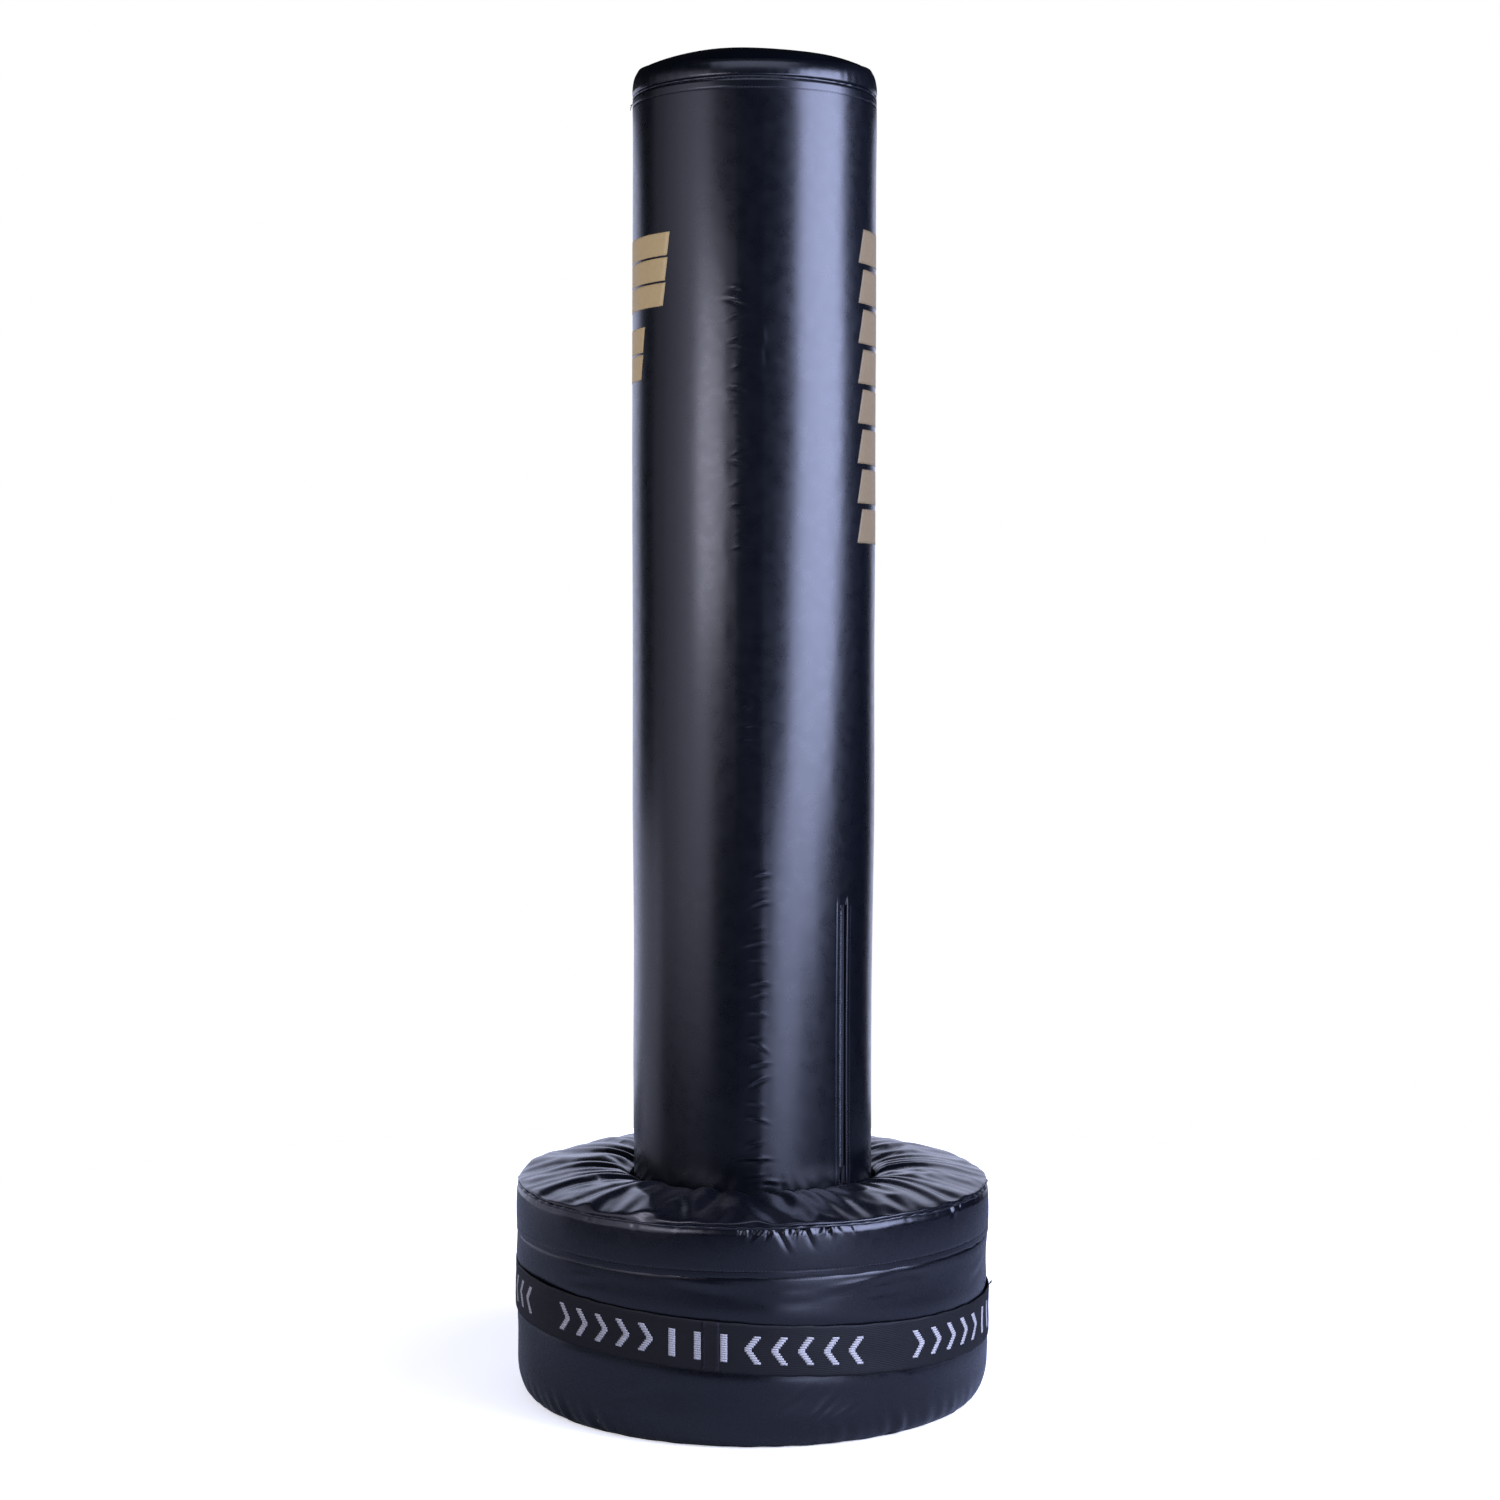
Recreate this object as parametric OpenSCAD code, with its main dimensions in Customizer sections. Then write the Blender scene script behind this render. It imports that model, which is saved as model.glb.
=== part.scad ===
// Free-standing punching bag: a padded bag on a sprung neck, over a filled and padded round base.
// Millimetres. +Z is up, the origin is the centre of the base on the floor, and the front is -Y.

/* [Overall] */
// Height from the floor to the top of the dome
total_h = 1736; // [1700:1:1800]
// Outside diameter of the base wall
base_d = 619; // [600:1:640]
// Outside diameter of the bag over most of its height
bag_d = 317; // [310:1:322]
// Outside diameter of the bag at its foot
bag_foot_d = 312; // [306:1:314]

/* [Base] */
// Height of the seam round the base's rim
rim_z = 272; // [266:1:280]
// Lower edge of the upper side band
band_low_z = 212; // [190:1:225]
// How far the gathered top panel bulges above its seams
panel_bulge = 20; // [10:1:24]
// Thickness of the vinyl skin
vinyl = 1.6; // [1.2:0.1:1.8]
// How far the wall curves in where it meets the floor
foot_round_x = 20; // [10:1:30]
// Height of that curve
foot_round_z = 44; // [20:1:60]
// Wall thickness of the moulded tank
tank_wall = 5; // [4:0.5:7]
// Height of the top of the tank
tank_top_z = 226; // [220:1:228]
// Depth of the ballast in the tank
ballast_depth = 110; // [60:5:180]

/* [Belt] */
// Height of the belt's middle at the front
belt_z = 125; // [115:1:140]
// Width of the elastic belt
belt_w = 62; // [50:1:70]
// Thickness of the elastic belt
belt_t = 1.4; // [1:0.1:1.6]
// How far the belt slants down to the right
belt_slant = 3.2; // [0:0.1:4]

/* [Bag] */
// Height of the bag's foot
foot_z = 264; // [262:1:268]
// Height of the stitched seam under the rolled top edge
top_seam_z = 1682; // [1600:1:1700]
// Height of the rolled band above that seam
top_band_h = 30; // [24:1:34]
// Outside diameter of the core tube
core_d = 160; // [150:1:164]
// Wall thickness of the core tube
core_wall = 5; // [4:0.5:6]
// Outside diameter of the firm inner foam
inner_foam_d = 236; // [200:1:250]

/* [Neck] */
// Height of the pivot, at the middle of the neck and level with the collar
pivot_z = 279; // [277:1:281]
// Mean diameter of the neck's springs
spring_d = 104; // [90:1:108]
// Wire diameter of the springs
wire_d = 8; // [6:0.5:9]
// Turns in each spring
spring_turns = 3; // [2.5:0.5:3.5]
// Bolts that hold the lower flange
bolt_count = 6; // [4:1:8]

/* [Zip] */
// Angle from the front round to the zip
zip_angle = 47.5; // [30:0.5:60]
// Height of the top of the zip
zip_top_z = 645; // [500:5:700]
// Width of the slot between the vinyl's folded edges
zip_slot_w = 13.5; // [12:0.5:16]

/* [Prints] */
// Thickness of the printed transfers
print_t = 0.3; // [0.2:0.05:0.4]

/* [Hidden] */

$fn = 96;
gap = 0.3;                          // clearance between curved faces that face each other

// Colours
black_vinyl = [0.07, 0.075, 0.10];
black_weave = [0.05, 0.05, 0.06];
steel = [0.62, 0.63, 0.65];
brass = [0.78, 0.62, 0.30];
grey_plastic = [0.24, 0.25, 0.27];
pvc_grey = [0.55, 0.57, 0.60];
foam_grey = [0.42, 0.43, 0.46];
foam_white = [0.88, 0.88, 0.86];
sand = [0.76, 0.66, 0.46];
gold = [0.66, 0.58, 0.42];

// Base
base_r = base_d / 2;
floor_r = base_r - foot_round_x;    // where the wall meets the floor
foam_r = base_r - vinyl - gap;
tank_r = 262;
tank_low_z = 3;
foam_side_in = tank_r + 4;
foam_low_z = 2.4;                   // just above the bottom panel
recess_r = 176;                     // hollow in the top foam round the bag's foot
collar_r = 162.5;                   // inner edge of the gathered panel
collar_z = pivot_z;
panel_power = 1.7;                  // how square the panel's bulge is
panel_steps = 16;
top_foam_low_z = tank_top_z + 0.6;
valley_room = 6;                    // room over the foam for the valleys of the panel's folds
rim_bead_r = 2.2;
band_tuck = 18;                     // how far the wall runs up behind the band

// Belt
belt_in = base_r + 0.9;
belt_join_angle = -10;
belt_join_w = 26;

// Filler
filler_at = [0, 219];
filler_bore_r = 20;
filler_neck_r = 25;
filler_neck_h = 18;
cap_r = 32;
cap_wall = 3;
cap_ribs = 24;
cap_pocket_r = 36;
gasket_t = 2;
cap_low_z = tank_top_z + 4;
cap_top_z = tank_top_z + filler_neck_h + gap + gasket_t + cap_wall;

// Neck
flange_r = 74;
flange_t = 6;
bolt_r = 4;
bolt_hole_r = 4.5;
bolt_circle_r = 66;
bolt_across_flats = 13;
bolt_head_h = 5.3;
washer_r = 7.8;
washer_t = 1.6;
insert_r = 7;
insert_h = 18;
boss_r = 13;
seat_h = 9;
seat_wall = 5;
plate_r = 62;
plate_t = 6;
lower_flange_top = tank_top_z + flange_t;
plate_low_z = pivot_z - plate_t / 2;
plate_top_z = pivot_z + plate_t / 2;
upper_flange_z = plate_top_z + (plate_low_z - lower_flange_top);
spring_in = spring_d / 2 - wire_d / 2;
wire_sides = 8;
wire_steps = 24;                    // rings in one turn of the spring
spring_clear = 0.3;

// Bag
bag_r = bag_d / 2;
foot_r = bag_foot_d / 2;
taper_low_z = 500;                  // the bag widens between these two heights
taper_top_z = 800;
core_r = core_d / 2;
core_in = core_r - core_wall;
inner_foam_r = inner_foam_d / 2;
core_below_seam = 30;
core_top_z = top_seam_z - core_below_seam;
cap_flange_t = 4;
cap_plug_h = 24;
foam_top_z = core_top_z + cap_flange_t + gap;
foam_foot_z = foot_z + vinyl + gap;
screw_count = 6;
screw_r = 4;
screw_head_r = 7;
skirt_h = 24;
skirt_wall = 5;
screw_z = upper_flange_z + flange_t + skirt_h / 2;
screw_sink = 3;                     // how deep the screws' heads sit in the tube

// Top
seam_bead_r = 1.6;
dome_edge_z = top_seam_z + top_band_h;
dome_power = 4;
dome_steps = 18;
band_bulge = 3;                     // how far the rolled edge stands out at its middle
dome_inset = 7;                     // how far the rolled edge turns in
pad_room = 4.5;                     // room over the pad, where the top panel sags at the front
dome_edge_r = bag_r - dome_inset;

// Zip
zip_polar = zip_angle - 90;         // the same angle measured from +X
zip_r = foot_r;
zip_h = zip_top_z - foot_z;
tape_w = 13;
tape_t = 0.8;
tape_face = 3.4;                    // depth of the tapes below the vinyl's face
teeth_w = 4.6;
teeth_t = 2;
tooth_pitch = 4;
tooth_h = 2.6;
slider_w = 10;
slider_h = 13;
slider_plate = 1.2;
slider_z = foot_z + 32;             // closed: just above the collar
slider_face = zip_r - tape_face - tape_t + teeth_t + 0.4 + slider_plate;
pin_z = slider_z + slider_h - 4;
pin_out = 1.3;                      // from the slider's face to its pin
pull_pin_r = 0.4;
pull_w = 6;
pull_h = 18;
pull_t = 1.1;
zip_bed_w = 2 * tape_w + teeth_w + 3;
zip_bed_depth = 5;

// Prints
print_z_low = 1107;
print_z_high = 1506;
right_bars = 8;
right_pitch = (print_z_high - print_z_low) / (right_bars - 0.3);

// ---- Helpers ----

// Plain ring between two heights.
module ring(r_out, r_in, z_low, z_high) {
    translate([0, 0, z_low]) difference() {
        cylinder(r = r_out, h = z_high - z_low);
        translate([0, 0, -1]) cylinder(r = r_in, h = z_high - z_low + 2);
    }
}

// Plain disc between two heights.
module disc(r, z_low, z_high) {
    translate([0, 0, z_low]) cylinder(r = r, h = z_high - z_low);
}

// Copies of the children on a circle.
module around(count, r, start = 0) {
    for (i = [0 : count - 1]) rotate([0, 0, start + 360 * i / count]) translate([r, 0, 0]) children();
}

// Frame of the zip: x points out of the bag, y runs along its face, z is up.
module at_zip(r = zip_r) {
    rotate([0, 0, zip_polar]) translate([r, 0, 0]) children();
}

// Coil of round wire standing on the plane z = 0, swept as one closed skin.
function wire_ring(i, mean_r, wire_r, pitch) =
    let (turn = 360 * i / wire_steps)
    [for (k = [0 : wire_sides - 1])
        let (a = 360 * k / wire_sides, r = mean_r + wire_r * cos(a))
        [r * cos(turn), r * sin(turn), wire_r + wire_r * sin(a) + pitch * i / wire_steps]];

module coil(height) {
    rings = spring_turns * wire_steps;
    pitch = (height - wire_d) / spring_turns;
    points = [for (i = [0 : rings]) each wire_ring(i, spring_d / 2, wire_d / 2, pitch)];
    sides = [for (i = [0 : rings - 1], k = [0 : wire_sides - 1])
        let (a = i * wire_sides + k, b = i * wire_sides + (k + 1) % wire_sides)
        each [[a, a + wire_sides, b], [b, a + wire_sides, b + wire_sides]]];
    first = [for (k = [0 : wire_sides - 1]) k];
    last = [for (k = [wire_sides - 1 : -1 : 0]) rings * wire_sides + k];
    polyhedron(points, concat(sides, [first], [last]));
}

// ---- Base cover ----

// Radius of the base wall's outside at height z, inset by a skin thickness.
function wall_curve(inset) = [for (a = [0 : 10 : 90])
    [floor_r - inset + foot_round_x * sin(a), foot_round_z * (1 - cos(a))]];

// Height of the gathered panel's outside at radius r.
function panel_z(r) =
    let (t = (r - collar_r) / (base_r - collar_r))
    collar_z + (rim_z - collar_z) * t + panel_bulge * pow(sin(180 * t), 1 / panel_power);

function panel_curve(drop, r_low, r_high) = [for (i = [0 : panel_steps])
    let (r = r_low + (r_high - r_low) * i / panel_steps) [r, panel_z(r) - drop]];

function reversed(list) = [for (i = [len(list) - 1 : -1 : 0]) list[i]];

module base_bottom_panel() {
    color(black_weave) disc(floor_r - vinyl - gap, 0, 2);
}

module base_cover_wall() {
    outer = wall_curve(0);
    inner = wall_curve(vinyl);
    top = band_low_z + band_tuck;
    color(black_vinyl) rotate_extrude() polygon(concat(
        outer, [[base_r - 2 * gap, band_low_z - 1], [base_r - vinyl, band_low_z], [base_r - vinyl, top]],
        [[base_r - 2 * vinyl + 0.2, top]],
        reversed(inner)));
}

module base_cover_band() {
    color(black_vinyl) ring(base_r + 0.5, base_r - vinyl + gap, band_low_z, rim_z - rim_bead_r);
}

module base_rim_seam() {
    color(black_vinyl) rotate_extrude() translate([base_r - rim_bead_r + 0.8, rim_z]) circle(r = rim_bead_r, $fn = 24);
}

module base_cover_top() {
    r_out = base_r - 2 * rim_bead_r + 0.6;
    color(black_vinyl) rotate_extrude() polygon(concat(
        panel_curve(0, collar_r, r_out),
        reversed(panel_curve(vinyl, collar_r, r_out))));
}

module collar_elastic() {
    cord_r = 2.5;
    color(black_weave) rotate_extrude() translate([collar_r + cord_r, collar_z - cord_r - vinyl - gap])
        circle(r = cord_r, $fn = 24);
}

// ---- Belt ----

// The belt hugs the upright wall, between two slanted planes.
module belt_layer(r_in) {
    intersection() {
        ring(r_in + belt_t, r_in, foot_round_z / 2, band_low_z);
        translate([0, 0, belt_z]) rotate([0, belt_slant, 0]) cube([2 * base_d, 2 * base_d, belt_w], center = true);
    }
}

module base_belt() {
    color(black_weave) belt_layer(belt_in);
}

// Sewn overlap where the belt's ends meet.
module belt_join() {
    join_in = belt_in + belt_t + 0.1;
    color(black_weave) intersection() {
        belt_layer(join_in);
        rotate([0, 0, belt_join_angle - 90]) translate([join_in, 0, belt_z]) cube([20, belt_join_w, base_d], center = true);
    }
}

// ---- Base padding and tank ----

module foam_side_ring() {
    top = tank_top_z;
    curve = [for (p = wall_curve(vinyl + 2 * gap)) if (p[1] > foam_low_z) p];
    color(foam_grey) rotate_extrude() polygon(concat(
        [[foam_side_in, foam_low_z], [floor_r - vinyl, foam_low_z]], curve,
        [[foam_r - vinyl - gap, band_low_z - 3], [foam_r - vinyl - gap, top], [foam_side_in, top]]));
}

module foam_top_ring() {
    r_out = foam_r - vinyl - gap;
    color(foam_grey) difference() {
        rotate_extrude() polygon(concat(
            [[recess_r, top_foam_low_z]],
            [for (p = panel_curve(vinyl + gap + valley_room, recess_r, r_out)) p],
            [[r_out, top_foam_low_z]]));
        translate([filler_at[0], filler_at[1], top_foam_low_z - 1])
            cylinder(r = cap_pocket_r, h = cap_top_z + 6 - top_foam_low_z);
    }
}

module tank() {
    inner_r = tank_r - tank_wall;
    color(grey_plastic) difference() {
        union() {
            disc(tank_r, tank_low_z, tank_top_z);
            translate([filler_at[0], filler_at[1], tank_top_z]) cylinder(r = filler_neck_r, h = filler_neck_h);
        }
        difference() {
            disc(inner_r, tank_low_z + tank_wall, tank_top_z - tank_wall);
            around(bolt_count, bolt_circle_r)
                translate([0, 0, tank_top_z - insert_h - tank_wall]) cylinder(r = boss_r, h = insert_h + tank_wall);
        }
        translate([filler_at[0], filler_at[1], tank_top_z - tank_wall - 1])
            cylinder(r = filler_bore_r, h = filler_neck_h + tank_wall + 2);
        around(bolt_count, bolt_circle_r)
            translate([0, 0, tank_top_z - insert_h]) cylinder(r = insert_r + 0.05, h = insert_h + 1);
    }
}

module ballast_sand() {
    low = tank_low_z + tank_wall + gap;
    color(sand) disc(tank_r - tank_wall - gap, low, low + ballast_depth);
}

module filler_cap() {
    color("black") translate([filler_at[0], filler_at[1], 0]) difference() {
        union() {
            disc(cap_r, cap_low_z, cap_top_z);
            around(cap_ribs, cap_r) translate([0, 0, cap_low_z]) cylinder(r = 1.5, h = cap_top_z - cap_low_z - 1);
        }
        disc(filler_neck_r + 2 * gap, cap_low_z - 1, cap_top_z - cap_wall);
    }
}

module filler_gasket() {
    top = cap_top_z - cap_wall;
    color("dimgray") translate([filler_at[0], filler_at[1], 0])
        ring(filler_neck_r - gap, filler_bore_r, top - gasket_t, top);
}

// ---- Neck ----

module tank_inserts() {
    color(brass) around(bolt_count, bolt_circle_r) difference() {
        translate([0, 0, tank_top_z - insert_h + 0.1]) cylinder(r = insert_r, h = insert_h - 0.1);
        translate([0, 0, tank_top_z - insert_h + 2]) cylinder(r = bolt_r + 0.05, h = insert_h);
    }
}

module lower_flange() {
    color(steel) difference() {
        union() {
            disc(flange_r, tank_top_z, lower_flange_top);
            disc(spring_in - 2 * gap, lower_flange_top, lower_flange_top + seat_h);
        }
        disc(spring_in - 2 * gap - seat_wall, tank_top_z - 1, lower_flange_top + seat_h + 1);
        around(bolt_count, bolt_circle_r) translate([0, 0, tank_top_z - 1]) cylinder(r = bolt_hole_r, h = flange_t + 2);
    }
}

module flange_washers() {
    color(steel) around(bolt_count, bolt_circle_r)
        ring(washer_r, bolt_hole_r, lower_flange_top, lower_flange_top + washer_t);
}

module flange_bolts() {
    head_z = lower_flange_top + washer_t;
    shank = insert_h - 4;
    color(steel) around(bolt_count, bolt_circle_r) {
        translate([0, 0, tank_top_z - shank]) cylinder(r = bolt_r, h = head_z - tank_top_z + shank + 0.5);
        translate([0, 0, head_z]) cylinder(r = bolt_across_flats / 2 / cos(30), h = bolt_head_h, $fn = 6);
    }
}

module lower_spring() {
    color(steel) translate([0, 0, lower_flange_top + spring_clear])
        coil(plate_low_z - lower_flange_top - 2 * spring_clear);
}

module spring_plate() {
    color(steel) ring(plate_r, spring_in - seat_wall - 8, plate_low_z, plate_top_z);
}

module upper_spring() {
    color(steel) translate([0, 0, plate_top_z + spring_clear])
        coil(upper_flange_z - plate_top_z - 2 * spring_clear);
}

module upper_flange() {
    skirt_r = core_in - 0.2;
    color(steel) difference() {
        union() {
            disc(skirt_r, upper_flange_z, upper_flange_z + flange_t + skirt_h);
            disc(spring_in - 2 * gap, upper_flange_z - seat_h, upper_flange_z);
        }
        disc(skirt_r - skirt_wall, upper_flange_z + flange_t, upper_flange_z + flange_t + skirt_h + 1);
        disc(spring_in - 2 * gap - seat_wall, upper_flange_z - seat_h - 1, upper_flange_z + flange_t + 1);
        core_screw_cuts(screw_z, screw_r + 0.1, skirt_r - skirt_wall - 2, skirt_r + 1);
    }
}

// ---- Bag core and foam ----

// Radial holes at one height, from one radius out to another.
module core_screw_cuts(z, r, from, to) {
    for (i = [0 : screw_count - 1]) rotate([0, 0, 360 * i / screw_count]) translate([from, 0, z])
        rotate([0, 90, 0]) cylinder(r = r, h = to - from);
}

module core_tube() {
    color(pvc_grey) difference() {
        ring(core_r, core_in, foot_z, core_top_z);
        core_screw_cuts(screw_z, screw_r + 0.1, core_in - 2, core_r + 1);
        core_screw_cuts(screw_z, screw_head_r + 0.1, core_r - screw_sink - 0.2, core_r + 1);
    }
}

module core_screws() {
    color(steel) {
        core_screw_cuts(screw_z, screw_r, core_in - skirt_wall - 4, core_r - 2);
        core_screw_cuts(screw_z, screw_head_r, core_r - screw_sink, core_r - 0.6);
    }
}

module core_top_cap() {
    plug_r = core_in - 0.2;
    color("black") difference() {
        union() {
            disc(core_r, core_top_z, core_top_z + cap_flange_t);
            disc(plug_r, core_top_z - cap_plug_h, core_top_z + 0.5);
        }
        disc(plug_r - 4, core_top_z - cap_plug_h - 1, core_top_z);
    }
}

// Outline of the bag's side from the foot to the height top, inset from its outside.
function bag_side(inset, low, top) = [
    [foot_r - inset, low], [foot_r - inset, taper_low_z], [bag_r - inset, taper_top_z], [bag_r - inset, top]
];

module foam_inner_sleeve() {
    color(foam_white) ring(inner_foam_r, core_r + gap, foam_foot_z, foam_top_z);
}

module foam_outer_sleeve() {
    inner = inner_foam_r + gap;
    bed_low = foot_z - 1;
    color(foam_grey) difference() {
        rotate_extrude() polygon(concat(
            [[inner, foam_foot_z]], bag_side(vinyl + gap, foam_foot_z, foam_top_z), [[inner, foam_top_z]]));
        at_zip(zip_r - zip_bed_depth) translate([0, -zip_bed_w / 2, bed_low])
            cube([20, zip_bed_w, zip_top_z + 8 - bed_low]);
    }
}

// Height of the dome's outside at radius r.
function dome_z(r) = dome_edge_z + (total_h - dome_edge_z) * (1 - pow(r / dome_edge_r, dome_power));

function dome_curve(drop, r_high) = [for (i = [0 : dome_steps]) let (r = r_high * i / dome_steps) [r, dome_z(r) - drop]];

module top_foam_pad() {
    r_out = dome_edge_r - 2 * vinyl;
    low = foam_top_z + gap;
    pad_r = bag_r - 3 * vinyl;
    color(foam_grey) rotate_extrude() polygon(concat(
        [[0, low], [pad_r, low], [pad_r, top_seam_z + 4]],
        reversed(dome_curve(2 * vinyl + pad_room, r_out))));
}

// ---- Bag cover ----

module bag_cover() {
    slot_low = foot_z - 1;
    top = top_seam_z - seam_bead_r;
    color(black_vinyl) difference() {
        rotate_extrude() polygon(concat(
            bag_side(0, foot_z, top), reversed(bag_side(vinyl, foot_z, top))));
        at_zip(zip_r - 10) translate([0, -zip_slot_w / 2, slot_low])
            cube([20, zip_slot_w, zip_top_z - slot_low]);
    }
}

module bag_cover_bottom() {
    color(black_vinyl) difference() {
        ring(foot_r - vinyl - gap, core_r + gap, foot_z, foot_z + vinyl);
        at_zip(zip_r - zip_bed_depth) translate([0, -zip_bed_w / 2, foot_z - 1]) cube([20, zip_bed_w, 4]);
    }
}

module bag_top_seam() {
    color(black_vinyl) rotate_extrude() translate([bag_r - seam_bead_r - 0.6, top_seam_z])
        circle(r = seam_bead_r, $fn = 24);
}

// Rolled edge: a band that swells out and turns in to the dome.
module bag_top_band() {
    low = top_seam_z + seam_bead_r;
    h = dome_edge_z - low;
    r_low = bag_r - 1;
    curve = [for (a = [0 : 12 : 180]) let (t = a / 180)
        [r_low + (dome_edge_r - r_low) * pow(t, 3) + band_bulge * sin(a) * 0.4, low + h * t]];
    color(black_vinyl) rotate_extrude() polygon(concat(curve, reversed([for (p = curve) [p[0] - vinyl, p[1]]])));
}

module bag_top_panel() {
    r_out = dome_edge_r - vinyl - gap;
    color(black_vinyl) rotate_extrude() polygon(concat(dome_curve(0, r_out), reversed(dome_curve(vinyl, r_out))));
}

// ---- Zip ----

module zip_tape(side) {
    start = side > 0 ? teeth_w / 2 + 0.1 : -teeth_w / 2 - 0.1 - tape_w;
    color(black_weave) at_zip(zip_r - tape_face - tape_t) translate([0, start, foot_z]) cube([tape_t, tape_w, zip_h]);
}

module zip_tape_left() { zip_tape(-1); }
module zip_tape_right() { zip_tape(1); }

module zip_teeth() {
    count = floor((zip_h - 12) / tooth_pitch);
    color("black") at_zip(zip_r - tape_face - tape_t) for (i = [0 : count - 1])
        translate([0, i % 2 == 0 ? -teeth_w / 2 : -teeth_w / 2 + 1, foot_z + i * tooth_pitch])
            cube([teeth_t, teeth_w - 1, tooth_h]);
}

module zip_top_stop() {
    color(steel) at_zip(zip_r - tape_face - tape_t)
        translate([0, -teeth_w / 2, zip_top_z - 8]) cube([teeth_t, teeth_w, 5]);
}

// Slider: a plate over the teeth, a flange down each side, and two lugs with a pin for the pull.
module zip_slider() {
    flange_depth = teeth_t - tape_t;
    flange_in = teeth_w / 2 + 0.5;
    lug_in = 1.4;
    lug_w = 1;
    pin_half = lug_in + lug_w;
    color(steel) at_zip(slider_face - slider_plate) {
        translate([0, -slider_w / 2, slider_z]) cube([slider_plate, slider_w, slider_h]);
        for (s = [-1, 1]) {
            translate([-flange_depth, s > 0 ? flange_in : -slider_w / 2, slider_z])
                cube([flange_depth + slider_plate, slider_w / 2 - flange_in, slider_h]);
            translate([slider_plate, s > 0 ? lug_in : -pin_half, pin_z - 2]) cube([1.6, lug_w, 4]);
        }
        translate([slider_plate + pin_out, -pin_half, pin_z]) rotate([-90, 0, 0])
            cylinder(r = pull_pin_r, h = 2 * pin_half);
    }
}

// Pull: a flat tab hung on the slider's pin.
module zip_pull() {
    eye_half = 1.2;
    eye_h = 3;
    color(steel) at_zip(slider_face + pin_out) translate([0, 0, pin_z]) difference() {
        union() {
            translate([-pull_t / 2, -eye_half, -eye_h]) cube([pull_t, 2 * eye_half, eye_h + 1.1]);
            translate([-pull_t / 2, -pull_w / 2, -pull_h]) cube([pull_t, pull_w, pull_h - eye_h + 0.2]);
        }
        translate([0, -eye_half - 1, 0]) rotate([-90, 0, 0]) cylinder(r = pull_pin_r + 0.03, h = 2 * eye_half + 2);
    }
}

// ---- Prints ----

// Slanted bar of thin skin on the bag, between two angles from the front and two heights.
// It faces the middle angle, and its top leans towards the right by the length lean.
module print_bar(facing, left, right, z_low, z_high, lean) {
    inner = bag_r + 0.1;
    x_left = bag_r * sin(left - facing);
    x_right = bag_r * sin(right - facing);
    intersection() {
        ring(inner + print_t, inner, z_low, z_high);
        rotate([0, 0, facing]) rotate([90, 0, 0]) linear_extrude(height = bag_r + 10)
            polygon([[x_left, z_low], [x_right, z_low], [x_right + lean, z_high], [x_left + lean, z_high]]);
    }
}

// Stack of bars that lean as one.
module print_stack(facing, left, right, z_low, z_high, lean, bars, space) {
    pitch = (z_high - z_low + space) / bars;
    for (i = [0 : bars - 1]) {
        shift = lean * i / bars / bag_r * 180 / PI;
        low = z_low + i * pitch;
        print_bar(facing, left + shift, right + shift, low, low + pitch - space, lean / bars);
    }
}

module print_left_upper() {
    color(gold) print_stack(-82, -116, -47, 1405, 1497, 12, 3, 5);
}

module print_left_lower() {
    color(gold) print_stack(-90, -116, -66, 1315, 1382, 10, 2, 5);
}

module print_right() {
    color(gold) for (i = [0 : right_bars - 1]) {
        low = print_z_low + i * right_pitch;
        print_bar(78, 59, 95, low, low + right_pitch * 0.7, 9);
    }
}

base_bottom_panel();
base_cover_wall();
base_cover_band();
base_rim_seam();
base_cover_top();
collar_elastic();
base_belt();
belt_join();
foam_side_ring();
foam_top_ring();
tank();
ballast_sand();
filler_cap();
filler_gasket();
tank_inserts();
lower_flange();
flange_washers();
flange_bolts();
lower_spring();
spring_plate();
upper_spring();
upper_flange();
core_screws();
core_tube();
core_top_cap();
foam_inner_sleeve();
foam_outer_sleeve();
top_foam_pad();
bag_cover();
bag_cover_bottom();
bag_top_seam();
bag_top_band();
bag_top_panel();
zip_tape_left();
zip_tape_right();
zip_teeth();
zip_top_stop();
zip_slider();
zip_pull();
print_left_upper();
print_left_lower();
print_right();
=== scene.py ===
import math

import bpy
import numpy as np
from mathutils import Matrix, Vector

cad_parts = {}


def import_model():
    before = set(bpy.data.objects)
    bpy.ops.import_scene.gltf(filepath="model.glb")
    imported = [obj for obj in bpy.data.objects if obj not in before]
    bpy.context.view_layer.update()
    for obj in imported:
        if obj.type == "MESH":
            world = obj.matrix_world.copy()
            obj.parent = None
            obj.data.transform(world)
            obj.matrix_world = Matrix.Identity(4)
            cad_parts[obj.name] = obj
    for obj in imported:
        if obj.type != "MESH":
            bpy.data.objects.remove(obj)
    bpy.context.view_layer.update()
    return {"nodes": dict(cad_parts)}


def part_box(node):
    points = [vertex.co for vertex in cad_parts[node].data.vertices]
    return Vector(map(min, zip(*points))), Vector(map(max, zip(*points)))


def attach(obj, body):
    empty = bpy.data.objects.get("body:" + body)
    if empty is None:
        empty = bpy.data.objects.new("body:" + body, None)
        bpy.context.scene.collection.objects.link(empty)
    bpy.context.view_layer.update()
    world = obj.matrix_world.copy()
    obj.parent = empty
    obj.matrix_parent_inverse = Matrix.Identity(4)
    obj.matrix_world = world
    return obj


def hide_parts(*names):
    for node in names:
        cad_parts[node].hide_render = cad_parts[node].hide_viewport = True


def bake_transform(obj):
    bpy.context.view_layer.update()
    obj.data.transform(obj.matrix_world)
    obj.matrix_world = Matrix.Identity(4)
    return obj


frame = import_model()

# Free-standing punching bag: the looks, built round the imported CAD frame.
# Metres. Angles phi are measured from the front (-Y) towards +X.

MM = 0.001


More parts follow.
